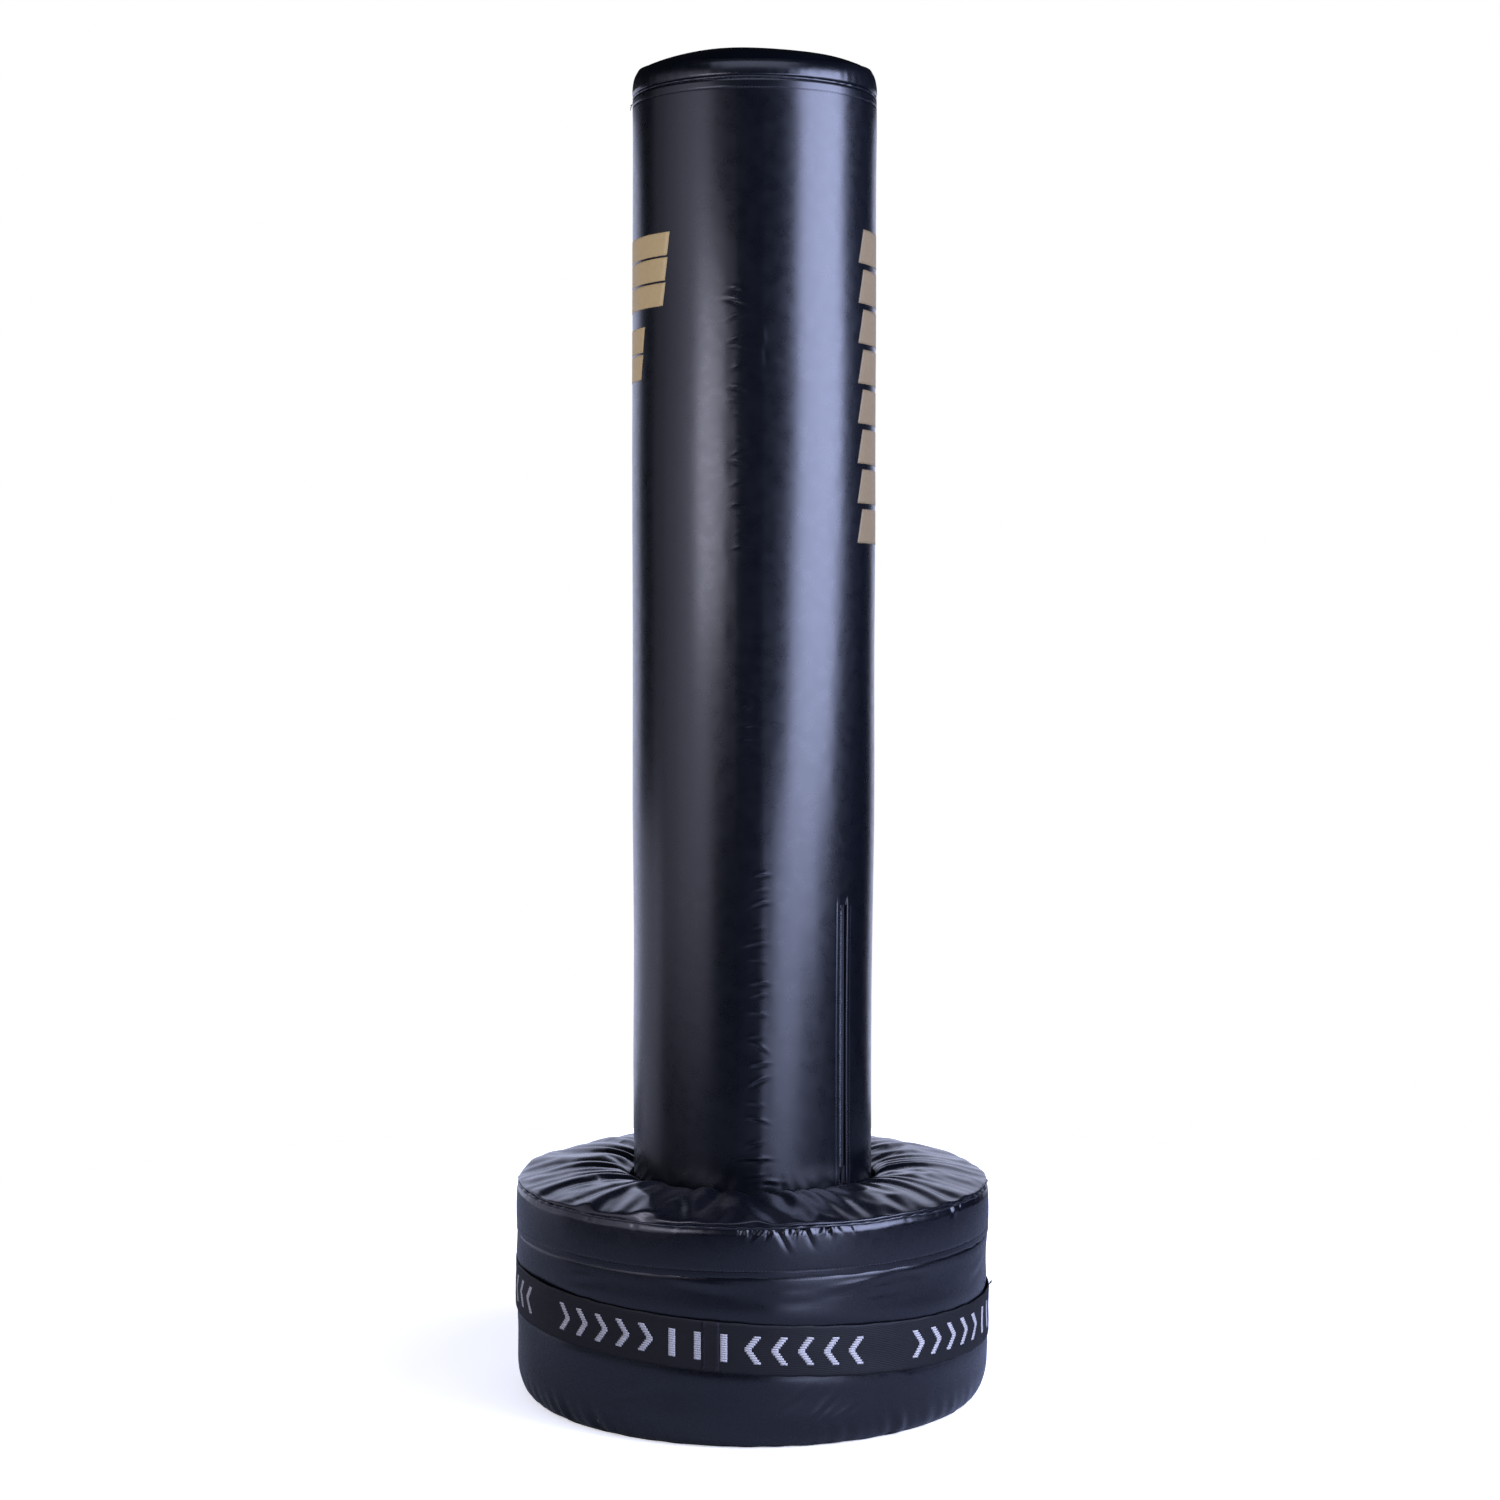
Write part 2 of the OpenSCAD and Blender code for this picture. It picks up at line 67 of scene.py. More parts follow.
def low(node, axis=2):
    """Lowest coordinate of a CAD node along an axis."""
    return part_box(node)[0][axis]


def high(node, axis=2):
    """Highest coordinate of a CAD node along an axis."""
    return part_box(node)[1][axis]


def middle(node):
    """Height of the middle of a CAD node."""
    return (low(node) + high(node)) / 2


# ---- Driving dimensions ----

# Base
BASE_R = high("base_cover_wall", 0)
FOOT_ROUND = 20 * MM                # how far the wall curves in at the floor
FOOT_RISE = 44 * MM                 # height of that curve
HEM_Z = low("base_cover_band")
RIM_Z = middle("base_rim_seam")
COLLAR_Z = 279 * MM
PANEL_BULGE = 20 * MM
PANEL_POWER = 1.7

# Belt
BELT_Z = middle("base_belt")
BELT_W = 62 * MM
BELT_SLANT = math.radians(3.2)
BELT_R = high("base_belt", 0)
JOIN_PHI = math.radians(-9.4)
JOIN_W = 22 * MM

# Bag
BAG_R = high("bag_cover", 0)
FOOT_R = 156.6 * MM
TAPER = (0.5, 0.8)                  # the bag widens between these heights
SKIN_LOW = low("bag_cover")
SKIN_TOP = high("bag_cover")
SEAM_Z = middle("bag_top_seam")
BAND_TOP_Z = 1713.2 * MM            # mean height of the rolled edge's top
DOME_R = high("bag_top_panel", 0) + 1.9 * MM
DOME_TOP = high("bag_top_panel")

# Zip
ZIP_PHI = math.radians(47.5)
ZIP_TOP = high("zip_tape_left")
SLOT_HALF = 5.9 * MM
ZIP_R = 156 * MM

# Camera
LENS = 65.7
CAMERA_AT = (-0.0047, -3.590, 1.0)
CAMERA_TILT = math.radians(90 - 2.58)
CAMERA_ROLL = math.radians(-0.11)

# ---- Shape helpers ----


def smooth(t):
    """Smooth step from 0 to 1."""
    t = np.clip(t, 0, 1)
    return t * t * (3 - 2 * t)


def bell(x, width):
    """Bell curve of height 1."""
    return np.exp(-(x / width) ** 2)


def spot(phi, r, z):
    """Points at an angle from the front, a radius and a height, as one array of rows."""
    phi, r, z = np.broadcast_arrays(phi, r, z)
    return np.stack([r * np.sin(phi), -r * np.cos(phi), z], axis=-1)


def ripple(seed, count, turns, wave_length):
    """Seeded smooth unevenness, mostly within -1 to 1, as a function of angle and height."""
    rng = np.random.default_rng(seed)
    around = rng.integers(turns[0], turns[1] + 1, count)
    upward = 2 * np.pi / rng.uniform(*wave_length, count) * rng.choice((-1, 1), count)
    phase = rng.uniform(0, 2 * np.pi, count)

    def height(phi, z=0.0):
        total = 0.0
        for a, u, p in zip(around, upward, phase):
            total = total + np.sin(a * phi + u * z + p)
        return total / math.sqrt(count)

    return height


def spaced(start, end, coarse, zones=(), exact=()):
    """Rising positions: coarse apart, closer in each zone (from, to, step), through the exact ones."""
    grading = 0.3
    marks = [start]
    while marks[-1] < end:
        step = coarse
        for zone_start, zone_end, fine in zones:
            away = max(zone_start - marks[-1], marks[-1] - zone_end, 0)
            step = min(step, fine + grading * away)
        marks.append(marks[-1] + step)
    marks = start + (np.array(marks) - start) * (end - start) / (marks[-1] - start)
    for value in exact:
        marks[np.argmin(abs(marks - value))] = value
    return marks


def circle(count):
    """Angles round a full circle, the last one not repeated."""
    return np.linspace(-np.pi, np.pi, count, endpoint=False)


def turned(phi, at):
    """Angle from one direction to another, between -pi and pi."""
    return (phi - at + np.pi) % (2 * np.pi) - np.pi


def add_mesh(name, points, faces, look):
    """New smooth-shaded mesh object with one material."""
    mesh = bpy.data.meshes.new(name)
    mesh.from_pydata(np.asarray(points, float).reshape(-1, 3).tolist(), [], faces)
    mesh.polygons.foreach_set("use_smooth", [True] * len(mesh.polygons))
    mesh.materials.append(look)
    mesh.update()
    piece = bpy.data.objects.new(name, mesh)
    bpy.context.collection.objects.link(piece)
    return piece


def grid_faces(rows, cols, wrap=True, closed=False, keep=None, first=0):
    """Quads of a grid of points whose rows rise and whose columns run to the right, facing the viewer.

    wrap joins the last column to the first, and closed joins the last row to the first.
    """
    faces = []
    for i in range(rows if closed else rows - 1):
        up = (i + 1) % rows
        for j in range(cols if wrap else cols - 1):
            if keep is not None and not keep[i, j]:
                continue
            right = (j + 1) % cols
            faces.append((first + i * cols + j, first + i * cols + right,
                          first + up * cols + right, first + up * cols + j))
    return faces


def patch(face, back):
    """Points and faces of a thin closed patch between two grids of points."""
    rows, cols = face.shape[:2]
    count = rows * cols
    faces = grid_faces(rows, cols, wrap=False)
    faces += [tuple(reversed(f)) for f in grid_faces(rows, cols, wrap=False, first=count)]
    rim = list(range(cols))
    rim += [i * cols + cols - 1 for i in range(1, rows)]
    rim += [(rows - 1) * cols + j for j in reversed(range(cols - 1))]
    rim += [i * cols for i in reversed(range(1, rows - 1))]
    for a, b in zip(rim, rim[1:] + rim[:1]):
        faces.append((a, a + count, b + count, b))
    return np.concatenate([face.reshape(-1, 3), back.reshape(-1, 3)]), faces


def solid(piece, thickness):
    """Gives a sheet its thickness, inwards."""
    shell = piece.modifiers.new("thickness", "SOLIDIFY")
    shell.thickness = thickness
    shell.offset = -1.0


def tube(path, radius, sides=8, closed=False):
    """Points and faces of a tube along a path, with capped ends unless it is closed."""
    path = np.asarray(path, float)
    ahead = np.roll(path, -1, axis=0) - np.roll(path, 1, axis=0)
    if not closed:
        ahead[0] = path[1] - path[0]
        ahead[-1] = path[-1] - path[-2]
    ahead /= np.linalg.norm(ahead, axis=1, keepdims=True)
    side = np.cross(ahead, (0.0, 0.0, 1.0))
    lost = np.linalg.norm(side, axis=1) < 1e-3
    side[lost] = (1.0, 0.0, 0.0)
    side /= np.linalg.norm(side, axis=1, keepdims=True)
    rise = np.cross(side, ahead)
    angle = np.linspace(0, 2 * np.pi, sides, endpoint=False)
    radius = np.broadcast_to(np.asarray(radius, float), len(path))[:, None, None]
    rings = path[:, None] + radius * (
        np.cos(angle)[None, :, None] * side[:, None] + np.sin(angle)[None, :, None] * rise[:, None])
    faces = [tuple(reversed(f)) for f in grid_faces(len(path), sides, wrap=True, closed=closed)]
    if not closed:
        faces.append(tuple(range(sides)))
        faces.append(tuple(reversed(range((len(path) - 1) * sides, len(path) * sides))))
    return rings.reshape(-1, 3), faces


def merged(parts):
    """Several (points, faces) as one."""
    points, faces, count = [], [], 0
    for part_points, part_faces in parts:
        points.append(np.asarray(part_points, float).reshape(-1, 3))
        faces += [tuple(v + count for v in f) for f in part_faces]
        count += len(points[-1])
    return np.concatenate(points), faces


def stitches(path, length, pitch, thread):
    """Short rounded stitches laid along a dense path of points."""
    path = np.asarray(path, float)
    travelled = np.concatenate([[0], np.cumsum(np.linalg.norm(np.diff(path, axis=0), axis=1))])

    def at(distance):
        return np.array([np.interp(distance, travelled, path[:, axis]) for axis in range(3)])

    taper = (0.35, 0.9, 1.0, 0.9, 0.35)
    parts = []
    for start in np.arange(0, travelled[-1] - length, pitch):
        line = [at(start + length * k / (len(taper) - 1)) for k in range(len(taper))]
        parts.append(tube(line, [thread * t for t in taper], sides=6))
    return merged(parts)


# ---- Materials ----


class Look:
    """A principled material under construction."""

    def __init__(self, name, colour, roughness, metallic=0.0):
        self.colour = colour
        self.material = bpy.data.materials.new(name)
        self.material.use_nodes = True
        self.material.diffuse_color = (*colour, 1)
        self.tree = self.material.node_tree
        self.shader = self.tree.nodes["Principled BSDF"]
        self.shader.inputs["Base Color"].default_value = (*colour, 1)
        self.shader.inputs["Roughness"].default_value = roughness
        self.shader.inputs["Metallic"].default_value = metallic
        self.place = self.node("ShaderNodeTexCoord").outputs["Object"]
        self.bumps = 0

    def node(self, kind, **settings):
        """A new node with its settings."""
        made = self.tree.nodes.new(kind)
        for key, value in settings.items():
            setattr(made, key, value)
        return made

    def link(self, source, target):
        self.tree.links.new(source, target)

    def scaled(self, x, y, z):
        """The place, stretched by a factor along each axis."""
        mapping = self.node("ShaderNodeMapping")
        mapping.inputs["Scale"].default_value = (x, y, z)
        self.link(self.place, mapping.inputs["Vector"])
        return mapping.outputs["Vector"]

    def noise(self, scale, detail=3.0, roughness=0.5, place=None):
        made = self.node("ShaderNodeTexNoise")
        made.inputs["Scale"].default_value = scale
        made.inputs["Detail"].default_value = detail
        made.inputs["Roughness"].default_value = roughness
        self.link(self.place if place is None else place, made.inputs["Vector"])
        return made.outputs["Fac"]

    def cells(self, scale, place=None):
        made = self.node("ShaderNodeTexVoronoi", feature="SMOOTH_F1")
        made.inputs["Scale"].default_value = scale
        self.link(self.place if place is None else place, made.inputs["Vector"])
        return made.outputs["Distance"]

    def ranged(self, value, from_low, from_high, to_low, to_high):
        made = self.node("ShaderNodeMapRange")
        limits = {"From Min": from_low, "From Max": from_high, "To Min": to_low, "To Max": to_high}
        for key, number in limits.items():
            made.inputs[key].default_value = number
        self.link(value, made.inputs["Value"])
        return made.outputs["Result"]

    def math(self, operation, a, b):
        made = self.node("ShaderNodeMath", operation=operation)
        for socket, value in zip(made.inputs, (a, b)):
            if isinstance(value, (int, float)):
                socket.default_value = value
            else:
                self.link(value, socket)
        return made.outputs["Value"]

    def tint(self, value, dark, light):
        """Base colour between two tones, by a value from 0 to 1."""
        mix = self.node("ShaderNodeMix", data_type="RGBA")
        mix.inputs["A"].default_value = (*dark, 1)
        mix.inputs["B"].default_value = (*light, 1)
        self.link(value, mix.inputs["Factor"])
        self.link(mix.outputs["Result"], self.shader.inputs["Base Color"])

    def shade(self, value, darkest, lightest):
        """Base colour between two shades of its own colour, given as factors."""
        dark = [c * darkest for c in self.colour]
        light = [min(1, c * lightest) for c in self.colour]
        self.tint(value, dark, light)

    def rough(self, value, at_low, at_high):
        self.link(self.ranged(value, 0.3, 0.7, at_low, at_high), self.shader.inputs["Roughness"])

    def bump(self, height, distance, strength=1.0):
        """Adds a layer of relief of that height in metres."""
        made = self.node("ShaderNodeBump")
        made.inputs["Distance"].default_value = distance
        made.inputs["Strength"].default_value = strength
        self.link(height, made.inputs["Height"])
        if self.bumps:
            self.link(self.last_bump, made.inputs["Normal"])
        self.last_bump = made.outputs["Normal"]
        self.bumps += 1
        normal = self.shader.inputs["Normal"]
        for old in list(normal.links):
            self.tree.links.remove(old)
        self.link(self.last_bump, normal)

    def across(self, phi):
        """1 to the right of an upright plane through the axis at phi, 0 to its left."""
        split = self.node("ShaderNodeSeparateXYZ")
        self.link(self.place, split.inputs["Vector"])
        side = self.math("ADD", self.math("MULTIPLY", split.outputs["X"], math.cos(phi)),
                         self.math("MULTIPLY", split.outputs["Y"], math.sin(phi)))
        return self.ranged(side, -0.5 * MM, 0.5 * MM, 0.0, 1.0)


def vinyl_look(name, colour, roughness, grain, shine=0.5):
    """Soft calendered vinyl: fine leather grain, slow dents and a slightly uneven polish."""
    look = Look(name, colour, roughness)
    look.shader.inputs["Specular IOR Level"].default_value = shine
    look.shade(look.noise(26, detail=4), 0.75, 1.35)
    look.rough(look.noise(60, detail=5), roughness - 0.02, roughness + 0.03)
    look.bump(look.noise(38, detail=2, place=look.scaled(0.7, 0.7, 1.6)), 0.06 * MM)
    look.bump(look.noise(700, detail=2), grain, 0.2)
    return look.material


def webbing_look(name, colour, warm, ribs_per_m):
    """Woven elastic: upright ribs crossed by fine rows of yarn; the sewn join parts two dye lots."""
    look = Look(name, colour, 0.66)
    look.shader.inputs["Specular IOR Level"].default_value = 0.3
    if warm:
        mixed = look.math("ADD", look.math("MULTIPLY", look.across(JOIN_PHI), 0.7),
                          look.math("MULTIPLY", look.noise(400), 0.3))
        look.tint(mixed, warm, colour)
    rows = look.node("ShaderNodeTexWave", wave_type="BANDS", bands_direction="Z")
    rows.inputs["Scale"].default_value = ribs_per_m / 6.3
    rows.inputs["Distortion"].default_value = 0.4
    look.link(look.place, rows.inputs["Vector"])
    look.bump(rows.outputs["Fac"], 0.25 * MM, 0.6)
    look.bump(look.cells(1100, look.scaled(1, 1, 0.5)), 0.2 * MM, 0.6)
    return look.material


def metal_look(name, colour, roughness, wear):
    """Plated metal with brushing and small stains."""
    look = Look(name, colour, roughness, metallic=1.0)
    look.shade(look.noise(90, detail=6), wear, 1)
    look.rough(look.noise(220, detail=4, place=look.scaled(1, 1, 8)), roughness - 0.08, roughness + 0.12)
    look.bump(look.noise(900, place=look.scaled(1, 1, 6)), 0.04 * MM, 0.4)
    return look.material


def plastic_look(name, colour, roughness):
    """Moulded plastic with a fine spark texture."""
    look = Look(name, colour, roughness)
    look.shade(look.noise(40, detail=4), 0.85, 1.1)
    look.rough(look.noise(120), roughness - 0.06, roughness + 0.08)
    look.bump(look.noise(1500), 0.08 * MM, 0.5)
    return look.material


def foam_look(name, colour):
    """Open-cell foam, with painted shade in its pores."""
    look = Look(name, colour, 0.95)
    pores = look.cells(420)
    # Painted shade: the pores' hollows, the same cells as the bump, are coloured darker.
    look.shade(pores, 0.45, 1)
    look.bump(pores, 1.2 * MM, 0.9)
    return look.material


def sand_look(name, colour):
    """Loose dry sand."""
    look = Look(name, colour, 0.95)
    look.shade(look.noise(1800, detail=2), 0.5, 1.25)
    look.bump(look.noise(1500, detail=1), 0.6 * MM)
    return look.material


def print_look(name, colour):
    """Matt transfer foil that shows the skin's grain."""
    look = Look(name, colour, 0.55)
    look.shader.inputs["Specular IOR Level"].default_value = 0.25
    look.shade(look.noise(140, detail=5), 0.88, 1.08)
    look.rough(look.noise(300), 0.5, 0.62)
    look.bump(look.cells(850), 0.04 * MM, 0.4)
    return look.material


def thread_look(name, colour):
    """Twisted thread."""
    look = Look(name, colour, 0.6)
    look.shade(look.noise(900), 0.6, 1)
    look.bump(look.noise(2500), 0.05 * MM, 0.5)
    return look.material


BAG_VINYL = vinyl_look("bag_vinyl", (0.0010, 0.0016, 0.0031), 0.28, 0.010 * MM)
DOME_VINYL = vinyl_look("dome_vinyl", (0.0016, 0.0024, 0.0042), 0.25, 0.010 * MM, shine=0.12)
BASE_VINYL = vinyl_look("base_vinyl", (0.0017, 0.0021, 0.0040), 0.27, 0.012 * MM)
SEAM_VINYL = vinyl_look("seam_vinyl", (0.0024, 0.0032, 0.0055), 0.33, 0.015 * MM)
BELT_WEAVE = webbing_look("belt_weave", (0.0034, 0.0034, 0.0040), (0.0048, 0.0041, 0.0040), 900)
TAPE_WEAVE = webbing_look("tape_weave", (0.009, 0.009, 0.011), None, 1300)
MARK_THREAD = webbing_look("mark_thread", (0.42, 0.40, 0.38), None, 1500)
STITCH = thread_look("stitch_thread", (0.020, 0.020, 0.026))
GOLD = print_look("gold_print", (0.47, 0.34, 0.15))
# The right-hand bars take the same gold, painted darker: painted shade that offsets the stronger right-hand
# light.
GOLD_PAINTED_SHADE = print_look("gold_print_painted_shade", (0.135, 0.098, 0.050))
STEEL = metal_look("zinc_steel", (0.56, 0.57, 0.59), 0.38, 0.7)
ZIP_METAL = metal_look("zip_metal", (0.10, 0.10, 0.11), 0.35, 0.6)
BRASS = metal_look("brass", (0.62, 0.45, 0.19), 0.32, 0.75)
TANK_PLASTIC = plastic_look("tank_plastic", (0.055, 0.058, 0.065), 0.5)
CAP_PLASTIC = plastic_look("cap_plastic", (0.012, 0.012, 0.013), 0.42)
PVC = plastic_look("pvc", (0.33, 0.35, 0.38), 0.4)
RUBBER = plastic_look("rubber", (0.02, 0.02, 0.021), 0.75)
SOFT_FOAM = foam_look("soft_foam", (0.17, 0.18, 0.20))
FIRM_FOAM = foam_look("firm_foam", (0.72, 0.72, 0.69))
SAND = sand_look("sand", (0.52, 0.40, 0.22))

NODE_LOOKS = {
    TAPE_WEAVE: ("base_bottom_panel", "collar_elastic", "zip_tape_left", "zip_tape_right"),
    SOFT_FOAM: ("foam_side_ring", "foam_top_ring", "foam_outer_sleeve", "top_foam_pad"),
    FIRM_FOAM: ("foam_inner_sleeve",),
    TANK_PLASTIC: ("tank",),
    CAP_PLASTIC: ("filler_cap", "core_top_cap"),
    RUBBER: ("filler_gasket",),
    SAND: ("ballast_sand",),
    BRASS: ("tank_inserts",),
    STEEL: ("lower_flange", "flange_washers", "flange_bolts", "spring_plate", "upper_flange", "core_screws"),
    PVC: ("core_tube",),
    SEAM_VINYL: ("bag_cover_bottom",),
    ZIP_METAL: ("zip_top_stop", "zip_slider", "zip_pull"),
}


def dress_nodes():
    """Gives each CAD node that stays in view its finish."""
    for look, names in NODE_LOOKS.items():
        for name in names:
            node = frame["nodes"][name]
            node.data.materials.clear()
            node.data.materials.append(look)


def place(piece, body, slot, *nodes):
    """Rides on a body and stands for CAD nodes, which it hides; slot is not used."""
    if nodes:
        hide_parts(*nodes)
    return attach(piece, body)


# ---- Bag skin ----

bag_wave = ripple(11, 10, (1, 5), (0.25, 0.9))
bag_dimple = ripple(12, 26, (8, 46), (0.03, 0.12))
CREASE_LINES = (
    # seed, count, angle and height of the lower end, angle and height of the upper end, spread
    (21, 17, -5.0, 1.085, -8.2, 1.435, 1.3),
    (22, 18, 1.0, 0.295, 3.2, 0.705, 1.2),
    (23, 6, -2.4, 0.820, -1.8, 0.920, 0.4),
)
CREASE_L = 8.5 * MM
CREASE_H = 2.2 * MM
CREASE_DEPTH = 0.95 * MM
SHEET_EDGES = (-7.0, 3.5)           # angles of the foam sheet's two edges under the skin
FOLD_W = 5.8 * MM                   # folded vinyl beside the zip's slot
FOLD_RISE = 0.3 * MM
CURL = 2.0 * MM
STITCH_AWAY = 7.8 * MM              # from the slot's edge to its stitching
TOPSTITCH_DOWN = 12 * MM            # from the top seam down to its topstitch


def crease_list():
    """Seeded small folds along each line, as (angle, height, length, tallness, depth, slant)."""
    made = []
    for seed, count, phi_low, z_low, phi_high, z_high, spread in CREASE_LINES:
        rng = np.random.default_rng(seed)
        for step in (np.arange(count) + rng.uniform(0.2, 0.8, count)) / count:
            phi = phi_low + (phi_high - phi_low) * step + rng.normal() * spread * 0.6
            size = rng.uniform(0.55, 1.35)
            made.append((math.radians(phi), z_low + (z_high - z_low) * step, CREASE_L * size,
                         CREASE_H * rng.uniform(0.7, 1.25), CREASE_DEPTH * size * rng.uniform(0.6, 1.2),
                         rng.normal() * 0.22))
    made.append((0.0, 0.327, 17 * MM, 2.6 * MM, 1.3 * MM, 0.05))
    made.append((math.radians(8), 0.297, 14 * MM, 3.0 * MM, 0.7 * MM, -0.1))
    made.append((math.radians(4.5), 1.350, 3.0 * MM, 16 * MM, 0.5 * MM, 0.1))
    return made


CREASES = crease_list()


def crease(phi, z, at_phi, at_z, length, tall, depth, slant):
    """Small fold: a ridge beside a groove."""
    right = (phi - at_phi) * BAG_R
    up = z - at_z
    along = right * math.cos(slant) + up * math.sin(slant)
    over = up * math.cos(slant) - right * math.sin(slant) + 0.08 * along * along / length
    return depth * 2.3 * (over / tall) * bell(over, tall) * bell(along, length)


def zip_edge(away, z):
    """Rise of the skin beside the zip, by the distance away from the slot's edge."""
    fold = FOLD_RISE * smooth(away / (1.2 * MM)) * (1 - smooth((away - FOLD_W) / (1.6 * MM)))
    curl = -CURL * (1 - smooth(away / (1.0 * MM)))
    groove = -0.3 * MM * bell(away - STITCH_AWAY, 1.0 * MM)
    return (fold + curl + groove) * (1 - smooth((z - ZIP_TOP) / (14 * MM)))


def skin_r(phi, z):
    """Radius of the bag's skin."""
    r = FOOT_R + (BAG_R - FOOT_R) * smooth((z - TAPER[0]) / (TAPER[1] - TAPER[0]))
    calm = smooth((SKIN_TOP - z) / 0.05) * smooth((z - SKIN_LOW) / 0.03)
    r = r + calm * (0.45 * MM * bag_wave(phi, z) + 0.035 * MM * bag_dimple(phi, z))
    for edge in SHEET_EDGES:
        r = r + 0.22 * MM * calm * bell((phi - math.radians(edge)) * BAG_R, 7 * MM)
    for values in CREASES:
        r = r + crease(phi, z, *values)
    return r


def bag_r(phi, z):
    """Radius of the bag's outside, the zip's edges and the top's stitching included."""
    away = abs(phi - ZIP_PHI) * BAG_R - SLOT_HALF
    stitch_dip = -0.3 * MM * bell(z - (SEAM_Z - TOPSTITCH_DOWN), 1.2 * MM)
    seam_dip = -0.6 * MM * smooth((z - SKIN_TOP + 2.0 * MM) / (2.0 * MM))
    return skin_r(phi, z) + zip_edge(away, z) + (stitch_dip + seam_dip)


def bag_skin():
    """The bag's side, with its small creases and the slot for the zip."""
    half = SLOT_HALF / BAG_R
    band = 16 * MM / BAG_R
    phi = spaced(-np.pi, np.pi, 10 * MM / BAG_R,
                 ((math.radians(-11), math.radians(9), 1.9 * MM / BAG_R),
                  (ZIP_PHI - band, ZIP_PHI + band, 0.8 * MM / BAG_R)),
                 exact=(ZIP_PHI - half, ZIP_PHI + half))[:-1]
    z = spaced(SKIN_LOW, SKIN_TOP, 12 * MM,
               ((0.29, 0.71, 2.1 * MM), (0.82, 0.92, 2.4 * MM), (1.09, 1.44, 2.1 * MM),
                (SEAM_Z - 18 * MM, SKIN_TOP, 0.9 * MM)), exact=(ZIP_TOP,))
    turned_in = ((SKIN_LOW, -6 * MM), (SKIN_LOW - 0.5 * MM, -1.5 * MM))
    grid = [spot(phi, bag_r(phi, z_edge) + inset, max(z_edge, SKIN_LOW)) for z_edge, inset in turned_in]
    grid += [spot(phi, bag_r(phi, height), height) for height in z]
    grid.append(spot(phi, bag_r(phi, SKIN_TOP) - 3 * MM, SKIN_TOP + 0.5 * MM))
    rows, cols = len(grid), len(phi)
    heights = np.concatenate([[SKIN_LOW] * len(turned_in), z, [SKIN_TOP]])
    inside = (phi >= ZIP_PHI - half - 1e-9) & (phi < ZIP_PHI + half - 1e-9)
    keep = np.ones((rows, cols), bool)
    keep[np.ix_(heights < ZIP_TOP - 1e-6, inside)] = False
    piece = add_mesh("bag_skin", np.array(grid), grid_faces(rows, cols, keep=keep), BAG_VINYL)
    return place(piece, "bag", "vinyl", "bag_cover")


def remove_loose(piece):
    """Deletes points that no face uses."""
    used = np.zeros(len(piece.data.vertices), bool)
    for face in piece.data.polygons:
        used[list(face.vertices)] = True
    points = np.array([v.co for v in piece.data.vertices])
    number = np.cumsum(used) - 1
    faces = [tuple(int(number[v]) for v in f.vertices) for f in piece.data.polygons]
    look = piece.data.materials[0]
    piece.data.clear_geometry()
    piece.data.from_pydata(points[used].tolist(), [], faces)
    piece.data.polygons.foreach_set("use_smooth", [True] * len(faces))
    if not piece.data.materials:
        piece.data.materials.append(look)
    piece.data.update()


# ---- Top of the bag ----

top_wave = ripple(31, 6, (1, 4), (1, 2))
top_pucker = ripple(32, 14, (18, 70), (1, 2))
dome_wave = ripple(33, 6, (1, 4), (0.15, 0.4))


def band_top_z(phi):
    """Height of the rolled edge's top, which sags at the front."""
    return BAND_TOP_Z - 3.0 * MM * np.cos(phi) - 4.2 * MM * np.cos(2 * phi) + 0.6 * MM * top_wave(phi)


def puckers(phi, seed, count, width):
    """Scattered narrow dips round the bag, each from 0 to 1 deep."""
    rng = np.random.default_rng(seed)
    total = 0.0
    for at, size in zip(rng.uniform(-np.pi, np.pi, count), rng.uniform(0.3, 1, count)):
        total = total + size * bell(turned(phi, at) * BAG_R, width * (0.6 + size))
    return total


def top_band():
    """Rolled edge of the bag's top, with small upright puckers."""
    phi = circle(300)
    z_low = SEAM_Z + 2.7 * MM
    rows = []
    for t in np.linspace(0, 1, 20):
        top = band_top_z(phi)
        z = z_low + (top - z_low) * t
        swell = 1.1 * MM * math.sin(math.pi * min(1.0, t * 1.15)) ** 0.7
        turn_in = (BAG_R - DOME_R) * (0.45 * t + 0.55 * t ** 5)
        dip = puckers(phi, 34, 40, 1.6 * MM) * (0.9 - 0.5 * t) + 0.25 * top_pucker(phi)
        tuck = 1.1 * MM * (1 - smooth(t / 0.10))
        dent = 0.55 * MM * dip * math.sin(np.pi * min(1, 0.1 + t))
        r = BAG_R - tuck - turn_in + swell - dent
        rows.append(spot(phi, r, z))
    edge = np.array(rows)[-1]
    rows.append(edge * (0.985, 0.985, 1) - (0, 0, 1.2 * MM))
    bottom = spot(phi, BAG_R - 5 * MM, z_low - 0.8 * MM)
    grid = np.array([bottom] + rows)
    piece = add_mesh("top_band", grid, grid_faces(len(grid), len(phi)), BAG_VINYL)
    return place(piece, "bag", "vinyl", "bag_top_band")


def dome_z(phi, r):
    """Height of the domed top, which is flat in the middle and a little uneven."""
    share = r / DOME_R
    edge = band_top_z(phi) - 1.0 * MM
    uneven = 0.8 * MM * dome_wave(phi, r) * np.sin(np.pi * np.clip(share, 0, 1))
    return edge + (DOME_TOP - edge) * (1 - share ** 4) + uneven


